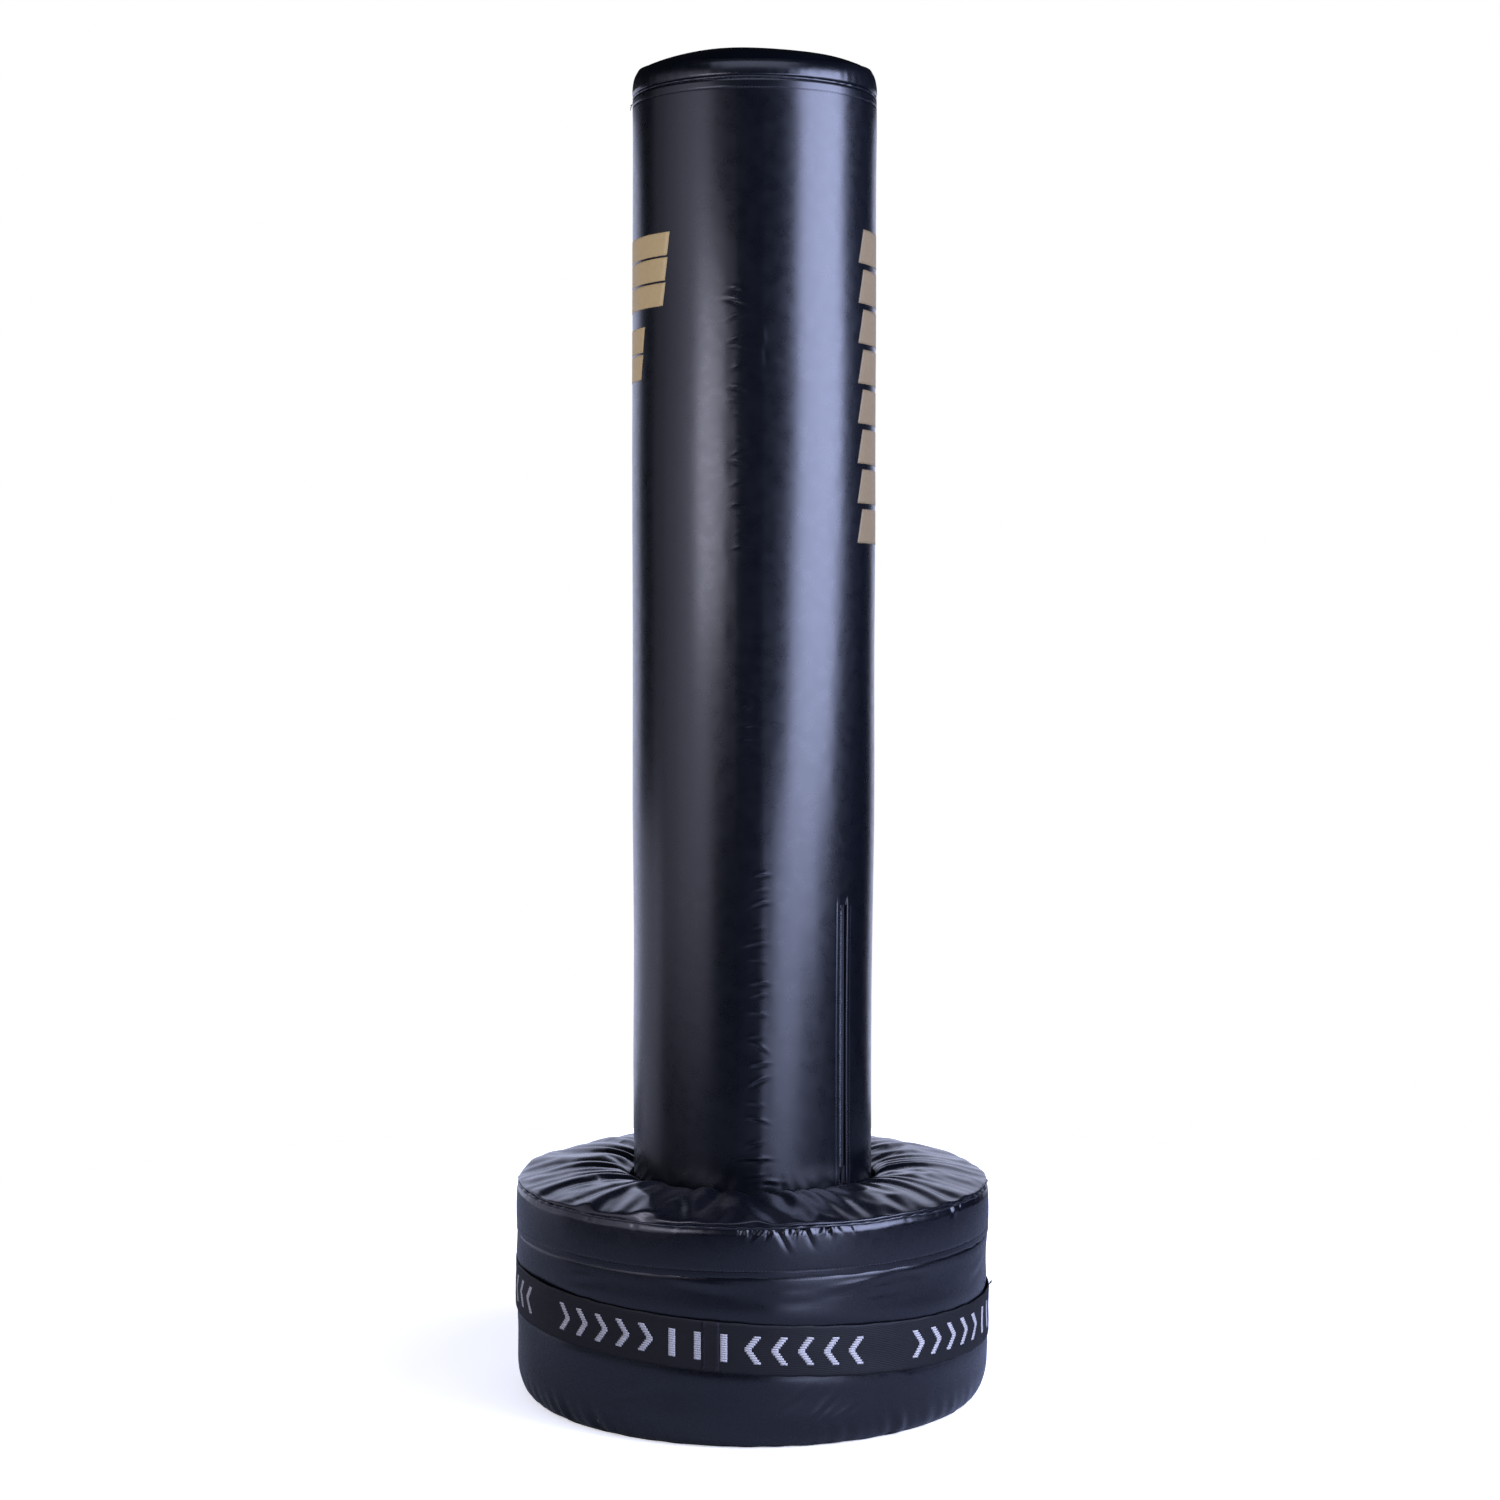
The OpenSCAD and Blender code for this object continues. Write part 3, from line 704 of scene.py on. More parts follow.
def top_dome():
    """Padded disc of the top, drawn in a little where it meets the rolled edge."""
    phi = circle(220)
    share = np.concatenate([np.linspace(0.02, 0.86, 24), np.linspace(0.875, 1.0, 14)])
    rows = []
    for s in share[::-1]:
        r = s * (DOME_R - 0.6 * MM)
        pull = 0.8 * MM * bell(s - 0.96, 0.035) * top_pucker(phi) * 0.6
        rows.append(spot(phi, r, dome_z(phi, r) - pull))
    rows.insert(0, rows[0] * (0.99, 0.99, 1) - (0, 0, 3 * MM))
    grid = np.array(rows)
    cols = len(phi)
    faces = grid_faces(len(grid), cols)
    last = (len(grid) - 1) * cols
    centre = len(grid) * cols
    peak = grid[-1].mean(axis=0)
    faces += [(last + j, last + (j + 1) % cols, centre) for j in range(cols)]
    piece = add_mesh("top_dome", np.concatenate([grid.reshape(-1, 3), [peak]]), faces, DOME_VINYL)
    return place(piece, "bag", "vinyl", "bag_top_panel")


def top_seam():
    """Narrow welt in the groove under the rolled edge."""
    phi = circle(360)
    r = BAG_R - 1.6 * MM + 0.2 * MM * top_pucker(phi)
    z = SEAM_Z + 0.7 * MM + 0.25 * MM * top_wave(phi)
    points, faces = tube(spot(phi, r, z), 1.6 * MM + 0.12 * MM * top_pucker(phi), sides=10, closed=True)
    piece = add_mesh("top_seam", points, faces, SEAM_VINYL)
    return place(piece, "bag", "vinyl", "bag_top_seam")


def top_stitching():
    """Topstitch below the seam, and the end of its thread."""
    phi = np.linspace(-np.pi, np.pi, 1500)
    z = SEAM_Z - TOPSTITCH_DOWN
    path = spot(phi, bag_r(phi, z) + 0.05 * MM, z)
    parts = [stitches(path, 3.2 * MM, 4.2 * MM, 0.32 * MM)]
    start = math.radians(-88)
    for k, lean in enumerate((0.9, -0.3, 0.4)):
        t = np.linspace(0, 1, 7)
        droop = (2 + 3 * k) * MM * t * t
        end_path = spot(start + lean * 0.02 * t, BAG_R + 2.6 * MM * t, SEAM_Z - 6 * MM - droop)
        parts.append(tube(end_path, 0.35 * MM, sides=6))
    piece = add_mesh("top_stitches", *merged(parts), STITCH)
    return place(piece, "bag", "vinyl")


# ---- Zip ----


def zip_point(side, out, z):
    """Point beside the zip's middle: side to the right, out from the zip's own radius."""
    return spot(ZIP_PHI + side / ZIP_R, ZIP_R + out, z)


def zip_coil():
    """Moulded coil teeth that lock down the middle of the two tapes."""
    pitch = 1.7 * MM
    inner = high("zip_top_stop") - 7 * MM
    steps = np.arange(SKIN_LOW + 1 * MM, inner, pitch)
    floor_out = -3.3 * MM
    parts = []
    for k, z in enumerate(steps):
        side = 1 if k % 2 else -1
        t = np.linspace(0, np.pi, 6)
        across = side * (2.1 * MM - 1.6 * MM * (1 + np.cos(t)))
        out = floor_out + 1.15 * MM * np.sin(t)
        line = zip_point(across, out, z + 0.5 * MM * np.cos(t))
        parts.append(tube(line, 0.38 * MM, sides=6))
    piece = add_mesh("zip_coil", *merged(parts), ZIP_METAL)
    return place(piece, "bag", "zip_metal", "zip_teeth")


def zip_stitching():
    """Stitch lines on the folded edges beside the slot."""
    z = np.linspace(SKIN_LOW + 2 * MM, ZIP_TOP - 1 * MM, 700)
    parts = []
    for away in (SLOT_HALF + 2.2 * MM, SLOT_HALF + STITCH_AWAY):
        for side in (-1, 1):
            phi = ZIP_PHI + side * away / BAG_R
            parts.append(stitches(spot(phi, bag_r(phi, z) + 0.1 * MM, z), 2.9 * MM, 3.9 * MM, 0.33 * MM))
    piece = add_mesh("zip_stitches", *merged(parts), STITCH)
    return place(piece, "bag", "vinyl")


# ---- Prints ----

PRINT_LIFT = 0.28 * MM
PRINT_LOW = low("print_right")
PRINT_HIGH = high("print_right")


def print_bar(facing, left, right, z_low, z_high, lean):
    """Points and faces of one slanted bar of foil on the skin, as a thin closed patch."""
    x_left = BAG_R * math.sin(math.radians(left - facing))
    x_right = BAG_R * math.sin(math.radians(right - facing))
    across = np.linspace(0, 1, 26)[None, :]
    upward = np.linspace(0, 1, 12)[:, None]
    x = x_left + (x_right - x_left) * across + lean * upward
    phi = math.radians(facing) + np.arcsin(np.clip(x / BAG_R, -1, 1))
    z = z_low + (z_high - z_low) * upward + 0 * across
    face = spot(phi, skin_r(phi, z) + PRINT_LIFT, z)
    back = spot(phi, skin_r(phi, z) - 0.1 * MM, z)
    return patch(face, back)


def print_stack(facing, left, right, z_low, z_high, lean, bars, space):
    """Stack of bars that lean as one; facing, left and right are angles in degrees."""
    pitch = (z_high - z_low + space) / bars
    parts = []
    for i in range(bars):
        shift = math.degrees(lean * i / bars / BAG_R)
        start = z_low + i * pitch
        end = start + pitch - space
        parts.append(print_bar(facing, left + shift, right + shift, start, end, lean / bars))
    return merged(parts)


def prints():
    """Plain gold bars where the bag is printed."""
    gap = 2.6 * MM
    upper = print_stack(-82, -116, -47, low("print_left_upper"), high("print_left_upper"), 12 * MM, 3, gap)
    lower = print_stack(-90, -116, -66, low("print_left_lower"), high("print_left_lower"), 10 * MM, 2, gap)
    bars = 8
    filled = 0.86                   # share of the pitch that a bar takes
    pitch = (PRINT_HIGH - PRINT_LOW) / (bars - 1 + filled)
    right = merged([print_bar(78, 56.5, 95, PRINT_LOW + i * pitch, PRINT_LOW + (i + filled) * pitch, 12 * MM)
                    for i in range(bars)])
    # The right print takes the gold with painted shade.
    for name, shape, foil in (("print_left_upper", upper, GOLD), ("print_left_lower", lower, GOLD),
                              ("print_right", right, GOLD_PAINTED_SHADE)):
        piece = add_mesh(f"foil_{name}", *shape, foil)
        place(piece, "bag", "print", name)


# ---- Base: gathered panel ----

FOLDS = 36
FOLD_DEPTH = 10.5 * MM
SMALL_FOLDS = 76
SMALL_DEPTH = 1.6 * MM
CLOTH_IN = 161.8 * MM               # inner edge of the cloth, close round the bag's foot
FOAM_DOWN = 6.5 * MM                # from the smooth panel down to its foam
panel_wander = ripple(41, 9, (2, 11), (1, 2))
small_wander = ripple(45, 9, (2, 17), (1, 2))
panel_size = ripple(42, 8, (4, 19), (1, 2))
panel_reach = ripple(46, 8, (5, 23), (1, 2))
panel_lean = ripple(47, 5, (1, 5), (1, 2))
rim_ripple = ripple(43, 9, (3, 24), (1, 2))
rim_fine = ripple(44, 16, (30, 110), (1, 2))
RIM_IN = 3.6 * MM                   # from the base's radius in to the panel's edge


def rim_wave(phi):
    """How far the rim's seam rises and falls round the base."""
    return 0.7 * MM * rim_ripple(phi) + 0.22 * MM * rim_fine(phi)


def panel_z(t):
    """Height of the smooth panel, t from 0 at the collar to 1 at the rim."""
    return COLLAR_Z + (RIM_Z - COLLAR_Z) * t + PANEL_BULGE * np.sin(np.pi * t) ** (1 / PANEL_POWER)


def gather(phi, t):
    """Folds of the cloth drawn in at the collar: round ridges between sharp valleys, fading outwards."""
    turn = FOLDS * (phi + 0.07 * t * panel_lean(phi)) + 2.4 * panel_wander(phi)
    ridge = np.abs(np.cos(turn / 2)) ** 0.75 - 0.72
    reach = np.clip(0.86 + 0.2 * panel_reach(phi), 0.45, 1.1)
    fade = np.clip(1 - t / reach, 0, 1) ** 0.85
    size = np.clip(0.75 + 0.5 * panel_size(phi), 0.2, 1.5)
    small_turn = SMALL_FOLDS * phi + 2.2 * small_wander(phi)
    small = (np.abs(np.cos(small_turn / 2)) - 0.64) * np.clip(1 - t / 0.4, 0, 1)
    start = 0.6 + 0.4 * smooth(t * 7)
    return (FOLD_DEPTH * size * ridge * fade + SMALL_DEPTH * small) * start


def upward_faces(rows, cols):
    """Faces of a flat-lying grid whose rows run outwards, with their upper side out."""
    return [(a, d, c, b) for a, b, c, d in grid_faces(rows, cols)]


def gathered_panel():
    """Top panel of the base: drawn into folds at the collar, and settled as cloth over the foam."""
    cols, rows = 480, 40
    t = np.linspace(0, 1, rows)[:, None] ** 0.9
    phi = circle(cols)[None, :]
    r = CLOTH_IN + (BASE_R - RIM_IN - CLOTH_IN) * t
    points = spot(phi + 0 * t, r + 0 * phi, panel_z(t) + gather(phi, t) + rim_wave(phi) * t ** 6)
    panel = add_mesh("gathered_panel", points, upward_faces(rows, cols), BASE_VINYL)
    points = settle_panel(panel, rows, cols).reshape(rows, cols, 3)
    for _ in range(4):
        points = (np.roll(points, 1, axis=1) + 2 * points + np.roll(points, -1, axis=1)) / 4
    bpy.data.objects.remove(panel)
    inner = points[0]
    tucked = [inner * (1.018, 1.018, 1) - (0, 0, 6.5 * MM), inner * (1.008, 1.008, 1) - (0, 0, 4.2 * MM),
              inner * (1.001, 1.001, 1) - (0, 0, 1.8 * MM)]
    points = np.concatenate([np.array(tucked), points])
    panel = add_mesh("gathered_panel", points, upward_faces(len(points), cols), BASE_VINYL)
    refine = panel.modifiers.new("refine", "SUBSURF")
    refine.levels = 1
    refine.render_levels = 1
    return place(panel, "base", "vinyl", "base_cover_top")


def settle_panel(panel, rows, cols):
    """Lets the panel grow a little between its two seams, blown up softly from below, until it buckles."""
    frames = 16
    held = panel.vertex_groups.new(name="held")
    held.add(list(range(cols)) + list(range((rows - 1) * cols, rows * cols)), 1.0, "REPLACE")
    foam = foam_bed()
    cloth = panel.modifiers.new("cloth", "CLOTH")
    set_cloth(cloth, frames)
    for step in range(1, frames + 1):
        bpy.context.scene.frame_set(step)
    solved = panel.evaluated_get(bpy.context.evaluated_depsgraph_get()).to_mesh()
    points = np.empty(len(solved.vertices) * 3)
    solved.vertices.foreach_get("co", points)
    bpy.data.objects.remove(foam)
    bpy.context.scene.frame_set(1)
    return points


def foam_bed():
    """Smooth foam under the panel, for the cloth to lie on."""
    rows, cols = 24, 128
    t = np.linspace(-0.02, 1.02, rows)[:, None]
    phi = circle(cols)[None, :]
    r = CLOTH_IN + (BASE_R - RIM_IN - CLOTH_IN) * t
    grid = spot(phi + 0 * t, r + 0 * phi, panel_z(np.clip(t, 0, 1)) - FOAM_DOWN + 0 * phi)
    foam = add_mesh("foam_bed", grid, upward_faces(rows, cols), SOFT_FOAM)
    foam.modifiers.new("collision", "COLLISION")
    foam.collision.thickness_outer = 1 * MM
    return foam


def set_cloth(cloth, frames):
    """Vinyl-like cloth, lightly blown up from inside, without gravity."""
    values = cloth.settings
    values.quality = 6
    values.mass = 0.2
    for kind, stiffness in (("tension", 30), ("compression", 30), ("shear", 10), ("bending", 5)):
        setattr(values, f"{kind}_stiffness", stiffness)
    for kind, damping in (("tension", 5), ("compression", 5), ("shear", 5), ("bending", 0.5)):
        setattr(values, f"{kind}_damping", damping)
    values.air_damping = 3
    values.use_pressure = True
    values.uniform_pressure_force = 1.5
    values.shrink_min = -0.04
    values.vertex_group_mass = "held"
    values.effector_weights.gravity = 0
    cloth.collision_settings.use_collision = True
    cloth.collision_settings.distance_min = 1 * MM
    cloth.collision_settings.collision_quality = 2
    cloth.point_cache.frame_start = 1
    cloth.point_cache.frame_end = frames


# ---- Base: rim, band and wall ----

band_wave = ripple(51, 8, (1, 7), (0.1, 0.3))
wall_wave = ripple(52, 10, (2, 12), (0.12, 0.4))
foot_fold = ripple(53, 18, (36, 90), (1, 2))
foot_size = ripple(54, 6, (2, 9), (1, 2))
hem_wave = ripple(55, 12, (6, 60), (1, 2))


def rim_welt():
    """Thin uneven ridge of the seam between the panel and the band."""
    phi = circle(900)
    bulk = 1.0 + 0.22 * rim_fine(phi)
    r = BASE_R - 1.9 * MM + 0.5 * MM * rim_fine(phi + 1.0)
    z = RIM_Z + 0.4 * MM + rim_wave(phi)
    points, faces = tube(spot(phi, r, z), 1.75 * MM * bulk, sides=10, closed=True)
    piece = add_mesh("rim_welt", points, faces, SEAM_VINYL)
    return place(piece, "base", "vinyl", "base_rim_seam")


def pucker_list():
    """Dips that run down from the rim's seam: (angle, width, length, depth, slant to the right)."""
    rng = np.random.default_rng(61)
    made = []
    for _ in range(70):
        made.append((rng.uniform(-180, 180), rng.uniform(1.6, 3.2), rng.uniform(5, 14),
                     rng.uniform(0.3, 0.9), rng.normal() * 0.25))
    for _ in range(26):
        made.append((rng.uniform(-4, 24), rng.uniform(1.4, 2.6), rng.uniform(7, 20),
                     rng.uniform(0.6, 1.5), rng.normal() * 0.4))
    made.append((5.3, 3.2, 34, 3.0, 0.55))
    made.append((11.6, 3.4, 30, 2.6, 0.45))
    made.append((17.0, 2.6, 18, 1.6, 0.2))
    made.append((54.0, 4.0, 16, 2.2, -0.1))
    made.append((57.5, 2.8, 10, 1.0, 0.3))
    made.append((-41.0, 3.0, 20, 1.8, -0.3))
    made.append((-28.0, 2.6, 16, 1.4, 0.3))
    return made


PUCKERS = pucker_list()

DENTS = (
    # angle, height, half length, half height, depth, rise to the right
    (24.0, 0.196, 34, 5.0, 1.5, 0.10),
    (31.0, 0.187, 26, 3.6, 1.2, 0.05),
    (40.0, 0.203, 22, 4.0, 1.0, -0.05),
    (8.0, 0.185, 30, 5.0, 0.7, 0.0),
    (-12.0, 0.200, 36, 6.0, 0.8, -0.1),
    (-44.0, 0.190, 26, 5.0, 0.9, 0.1),
    (16.0, 0.048, 26, 3.4, 1.5, 0.75),
    (21.0, 0.040, 20, 3.0, 1.1, 0.5),
    (9.0, 0.060, 22, 3.4, 0.8, 0.6),
    (38.0, 0.070, 30, 5.0, 0.9, -0.4),
    (-30.0, 0.060, 34, 6.0, 0.8, 0.3),
    (70.0, 0.180, 30, 6.0, 1.0, 0.2),
    (110.0, 0.080, 34, 6.0, 1.1, -0.3),
    (160.0, 0.190, 30, 5.0, 1.1, 0.1),
    (-150.0, 0.070, 34, 6.0, 1.2, 0.4),
    (-95.0, 0.185, 28, 5.0, 1.0, -0.2),
)


def wall_dents(phi, z):
    """Long shallow creases in the lower wall: a groove with a ridge above it."""
    total = 0.0
    for at, height, length, tall, depth, rise in DENTS:
        right = turned(phi, math.radians(at)) * BASE_R
        along = right * math.cos(rise) + (z - height) * math.sin(rise)
        over = (z - height) * math.cos(rise) - right * math.sin(rise)
        groove = depth * MM * 2.0 * (over / (tall * MM)) * bell(over, tall * MM)
        total = total + groove * bell(along, length * MM)
    return total


def rim_puckers(phi, z):
    """Relief of the puckers below the rim's seam: a dip with a ridge beside it."""
    down = RIM_Z - z
    total = 0.0
    for at, width, length, depth, slant in PUCKERS:
        aside = turned(phi, math.radians(at)) * BASE_R - slant * down
        fade = smooth(1 - down / (length * MM)) * smooth((down + 2 * MM) / (3 * MM))
        shape = -bell(aside, width * MM) + 0.55 * bell(aside - 1.9 * width * MM, width * MM)
        total = total + depth * MM * shape * fade
    return total


def band_r(phi, z):
    """Radius of the upper side band."""
    t = np.clip((z - HEM_Z) / (RIM_Z - HEM_Z), 0, 1)
    r = BASE_R + 0.6 * MM + 1.0 * MM * np.sin(np.pi * t) - 2.2 * MM * smooth((t - 0.86) / 0.14)
    r = r + 0.55 * MM * band_wave(phi, z) + rim_puckers(phi, z)
    hem = 0.15 * MM * (1 - smooth((z - HEM_Z - 3.0 * MM) / (2.0 * MM)))
    stitch = -0.35 * MM * bell(z - HEM_Z - 8.5 * MM, 1.3 * MM)
    return r + hem + stitch


def side_band():
    """Upper side band, with its rolled hem below and puckers under the rim."""
    phi = spaced(-np.pi, np.pi, 4.2 * MM / BASE_R,
                 ((math.radians(-8), math.radians(26), 1.3 * MM / BASE_R),
                  (math.radians(50), math.radians(60), 1.4 * MM / BASE_R)))[:-1]
    z = spaced(HEM_Z, RIM_Z - 0.5 * MM, 3.2 * MM, ((HEM_Z, HEM_Z + 11 * MM, 1.0 * MM),
                                                  (RIM_Z - 14 * MM, RIM_Z, 1.3 * MM)))
    hem_drop = 0.5 * MM * hem_wave(phi)
    rows = [spot(phi, band_r(phi, HEM_Z) - 1.5 * MM, HEM_Z + 0.9 * MM + hem_drop),
            spot(phi, band_r(phi, HEM_Z) - 0.6 * MM, HEM_Z - 0.3 * MM + hem_drop)]
    for height in z:
        drop = hem_drop * (1 - smooth((height - HEM_Z) / (14 * MM)))
        lift = rim_wave(phi) * smooth((height - HEM_Z) / (RIM_Z - HEM_Z))
        rows.append(spot(phi, band_r(phi, height), height + lift + drop))
    grid = np.array(rows)
    piece = add_mesh("side_band", grid, grid_faces(len(grid), len(phi)), BASE_VINYL)
    return place(piece, "base", "vinyl", "base_cover_band")


def belt_mid_z(phi, r=BELT_R):
    """Height of the belt's middle, which slants down to the right."""
    return BELT_Z - math.tan(BELT_SLANT) * r * np.sin(phi)


def wall_r(phi, z):
    """Radius of the base's wall."""
    foot = np.clip(z / FOOT_RISE, 0, 1)
    r = BASE_R - FOOT_ROUND * (1 - np.sqrt(1 - (1 - foot) ** 2))
    above_floor = smooth((z - 10 * MM) / (40 * MM))
    below_hem = smooth((HEM_Z + 10 * MM - z) / (40 * MM))
    r = r + 0.9 * MM * wall_wave(phi, z) * above_floor * below_hem
    from_belt = np.abs(z - belt_mid_z(phi)) - BELT_W / 2
    pinch = 1 - smooth((from_belt + 2 * MM) / (9 * MM))
    r = r - 1.3 * MM * pinch + 0.5 * MM * bell(from_belt - 14 * MM, 9 * MM)
    strength = 0.55 + 0.5 * smooth(foot_size(phi)) + 0.7 * bell(phi + math.radians(48), 0.35)
    strength = strength + 0.5 * bell(phi - math.radians(50), 0.3)
    tuck = smooth((z - HEM_Z + 2 * MM) / (3 * MM))
    r = r - 1.5 * MM * tuck + 0.35 * MM * bell(z - HEM_Z + 9 * MM, 7 * MM)
    fade = bell(z - 14 * MM, 17 * MM)
    patchy = smooth(0.45 + 0.7 * foot_size(phi + 1.3))
    return r + wall_dents(phi, z) + 1.7 * MM * strength * patchy * fade * foot_fold(phi + 1.1 * z)


def side_wall():
    """Lower wall of the base: softly dented, gripped by the belt and puckered where it turns under."""
    phi = circle(560)
    z = spaced(0.0, HEM_Z + 16 * MM, 5 * MM,
               ((0.0, 46 * MM, 2.6 * MM), (HEM_Z - 6 * MM, HEM_Z + 4 * MM, 2 * MM)))
    rows = [spot(phi, BASE_R - FOOT_ROUND - 8 * MM, 0.2 * MM)]
    rows += [spot(phi, wall_r(phi, height), height) for height in z]
    grid = np.array(rows)
    piece = add_mesh("side_wall", grid, grid_faces(len(grid), len(phi)), BASE_VINYL)
    return place(piece, "base", "vinyl", "base_cover_wall")


def floor_hem():
    """Thin uneven lip of the hem that the wall and the bottom panel are sewn with."""
    phi = circle(700)
    bulk = 1.0 + 0.25 * hem_wave(phi + 2.0)
    r = BASE_R - FOOT_ROUND + 3.2 * MM + 0.9 * MM * hem_wave(phi)
    z = 2.0 * MM * bulk + 0.1 * MM
    points, faces = tube(spot(phi, r, z), 1.8 * MM * bulk, sides=8, closed=True)
    piece = add_mesh("floor_hem", points, faces, SEAM_VINYL)
    return place(piece, "base", "vinyl")


def band_stitching():
    """Topstitch along the band's hem."""
    phi = np.linspace(-np.pi, np.pi, 2400)
    z = HEM_Z + 8.5 * MM
    drop = 0.5 * MM * hem_wave(phi) * (1 - smooth(8.5 / 14))
    path = spot(phi, band_r(phi, z) + 0.1 * MM, z + drop)
    piece = add_mesh("band_stitches", *stitches(path, 3.4 * MM, 4.6 * MM, 0.36 * MM), STITCH)
    return place(piece, "base", "vinyl")


# ---- Belt ----

belt_edge = ripple(71, 12, (5, 70), (1, 2))
belt_swell = ripple(72, 8, (3, 20), (0.05, 0.15))
BELT_T = 1.3 * MM
BELT_ROWS = 25                      # points across the belt's width
MARK_H = 34 * MM
MARK_STROKE = 8.6 * MM
MARK_STEPS = 12
MARK_GROUP = (1, 1, 1, 1, 1, 0, 0, 0, -1, -1, -1, -1, -1)   # directions of one group's marks
MARK_SHIFT = {1: 0.0, 0: 0.25, -1: 0.5}                     # shares of the spacing


def belt_r(phi, up):
    """Radius of the belt's face; up is the share of its half width."""
    edge_roll = -0.35 * MM * smooth((np.abs(up) - 0.9) / 0.1)
    return BELT_R + 0.2 * MM + 0.25 * MM * belt_swell(phi, up * 0.05) + edge_roll


def belt_point(phi, up, out=0.0):
    """Point on the belt's face."""
    wander = 0.35 * MM * belt_edge(phi)
    return spot(phi, belt_r(phi, up) + out, belt_mid_z(phi) + up * BELT_W / 2 + wander)


def belt():
    """Elastic belt round the base."""
    cols = 480
    phi = circle(cols)[None, :]
    up = np.linspace(-1, 1, BELT_ROWS)[:, None]
    piece = add_mesh("belt", belt_point(phi, up), grid_faces(BELT_ROWS, cols), BELT_WEAVE)
    solid(piece, BELT_T)
    return piece


def belt_join():
    """Sewn overlap of the belt's two ends; its zigzag tacks are made in belt_tacks."""
    cols = 15
    half = JOIN_W / 2 / BELT_R
    phi = np.linspace(JOIN_PHI - half, JOIN_PHI + half, cols)[None, :]
    up = np.linspace(-0.985, 0.985, BELT_ROWS)[:, None]
    out = 1.25 * MM * smooth((half - np.abs(phi - JOIN_PHI)) / (0.12 * half)) + 0.1 * MM
    faces = grid_faces(BELT_ROWS, cols, wrap=False)
    piece = add_mesh("belt_overlap", belt_point(phi, up, out), faces, BELT_WEAVE)
    solid(piece, 0.9 * MM)
    return piece


def belt_tacks():
    """Zigzag stitches on the join, and loose ends of thread at the belt's right edge."""
    parts = []
    zags = 41
    for side in (-1, 1):
        up = np.linspace(-0.95, 0.95, zags)
        zig = np.where(np.arange(zags) % 2, 1, -1) * 1.1 * MM / BELT_R
        middle_phi = JOIN_PHI + side * (JOIN_W / 2 - 3.4 * MM) / BELT_R
        parts.append(tube(belt_point(middle_phi + zig, up, 1.5 * MM), 0.28 * MM, sides=6))
    t = np.linspace(0, 1, 8)
    for k in range(5):
        lean = (k - 2) * 1.5
        rise = 0.97 + 0.12 * t * (1 + 0.2 * k)
        out = 0.3 * MM + 4 * MM * t * t
        tuft = belt_point(math.radians(84) + lean * MM / BELT_R * t, rise, out)
        parts.append(tube(tuft, 0.3 * MM, sides=6))
    return add_mesh("belt_tacks", *merged(parts), STITCH)


def mark_block(phi, z_offset, width, height):
    """One woven block of a mark, as a thin closed patch on the belt."""
    angles = np.linspace(phi, phi + width / BELT_R, 4)[None, :]
    rise = np.array([z_offset, z_offset + height])[:, None] / (BELT_W / 2)
    face = belt_point(angles, rise, 0.32 * MM)
    back = belt_point(angles, rise, -0.4 * MM)
    return patch(face, back)


def chevron(phi, direction):
    """Blocks of one chevron, stepped like weaving, or of an upright bar where the direction is 0."""
    rows = MARK_STEPS
    tall = MARK_H / rows
    parts = []
    for i in range(rows):
        step = min(i, rows - 1 - i) * direction * 2.2 * MM
        parts.append(mark_block(phi + step / BELT_R, -MARK_H / 2 + i * tall, MARK_STROKE, tall))
    return parts


def belt_marks():
    """Woven pattern: groups of chevrons parted by short bars, all the way round."""
    groups = 4
    pitch = 2 * np.pi / groups
    spacing = 32.5 * MM / BELT_R
    start = math.radians(-50.5)
    parts = []
    for g in range(groups):
        for k, direction in enumerate(MARK_GROUP):
            phi = start + g * pitch + k * spacing
            parts += chevron(phi + MARK_SHIFT[direction] * spacing, direction)
    return add_mesh("belt_marks", *merged(parts), MARK_THREAD)


def belt_set():
    """The belt with its join, tacks and marks."""
    strap = place(belt(), "base", "webbing", "base_belt")
    overlap = place(belt_join(), "base", "webbing", "belt_join")
    tacks = place(belt_tacks(), "base", "webbing")
    marks = place(belt_marks(), "base", "print")


# ---- Springs ----


def spring(name, node):
    """Coil spring with closed ends, made in place of the CAD node, which it hides."""
    wire = 4 * MM
    mean_r = high(node, 0) - wire
    z_low = low(node) + wire
    z_high = high(node) - wire
    turns = 3
    t = np.linspace(0, 1, 150)
    eased = np.clip((t - 0.06) / 0.88, 0, 1)
    angle = 2 * np.pi * turns * t
    z = z_low + (z_high - z_low) * eased
    path = np.stack([mean_r * np.cos(angle), mean_r * np.sin(angle), z], axis=-1)
    piece = add_mesh(name, *tube(path, wire, sides=12), STEEL)
    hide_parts(node)
    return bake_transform(piece)


# ---- Stage ----


BACKDROP_Y = 2.0
FLOOR_Z = -0.4 * MM                 # just under the base


def softbox(name, phi, distance, z, size, radiance, colour, aim_z):
    """Rectangular light at an angle from the front, aimed at the axis at a height."""
    lamp = bpy.data.lights.new(name, "AREA")
    lamp.shape = "RECTANGLE"
    lamp.size, lamp.size_y = size
    lamp.energy = radiance * math.pi * size[0] * size[1]
    lamp.color = colour
    holder = bpy.data.objects.new(name, lamp)
    bpy.context.collection.objects.link(holder)
    at = Vector(spot(math.radians(phi), distance, z))
    holder.location = at
    holder.rotation_euler = (Vector((0, 0, aim_z)) - at).to_track_quat("-Z", "Y").to_euler()
    holder.visible_camera = False
    return holder


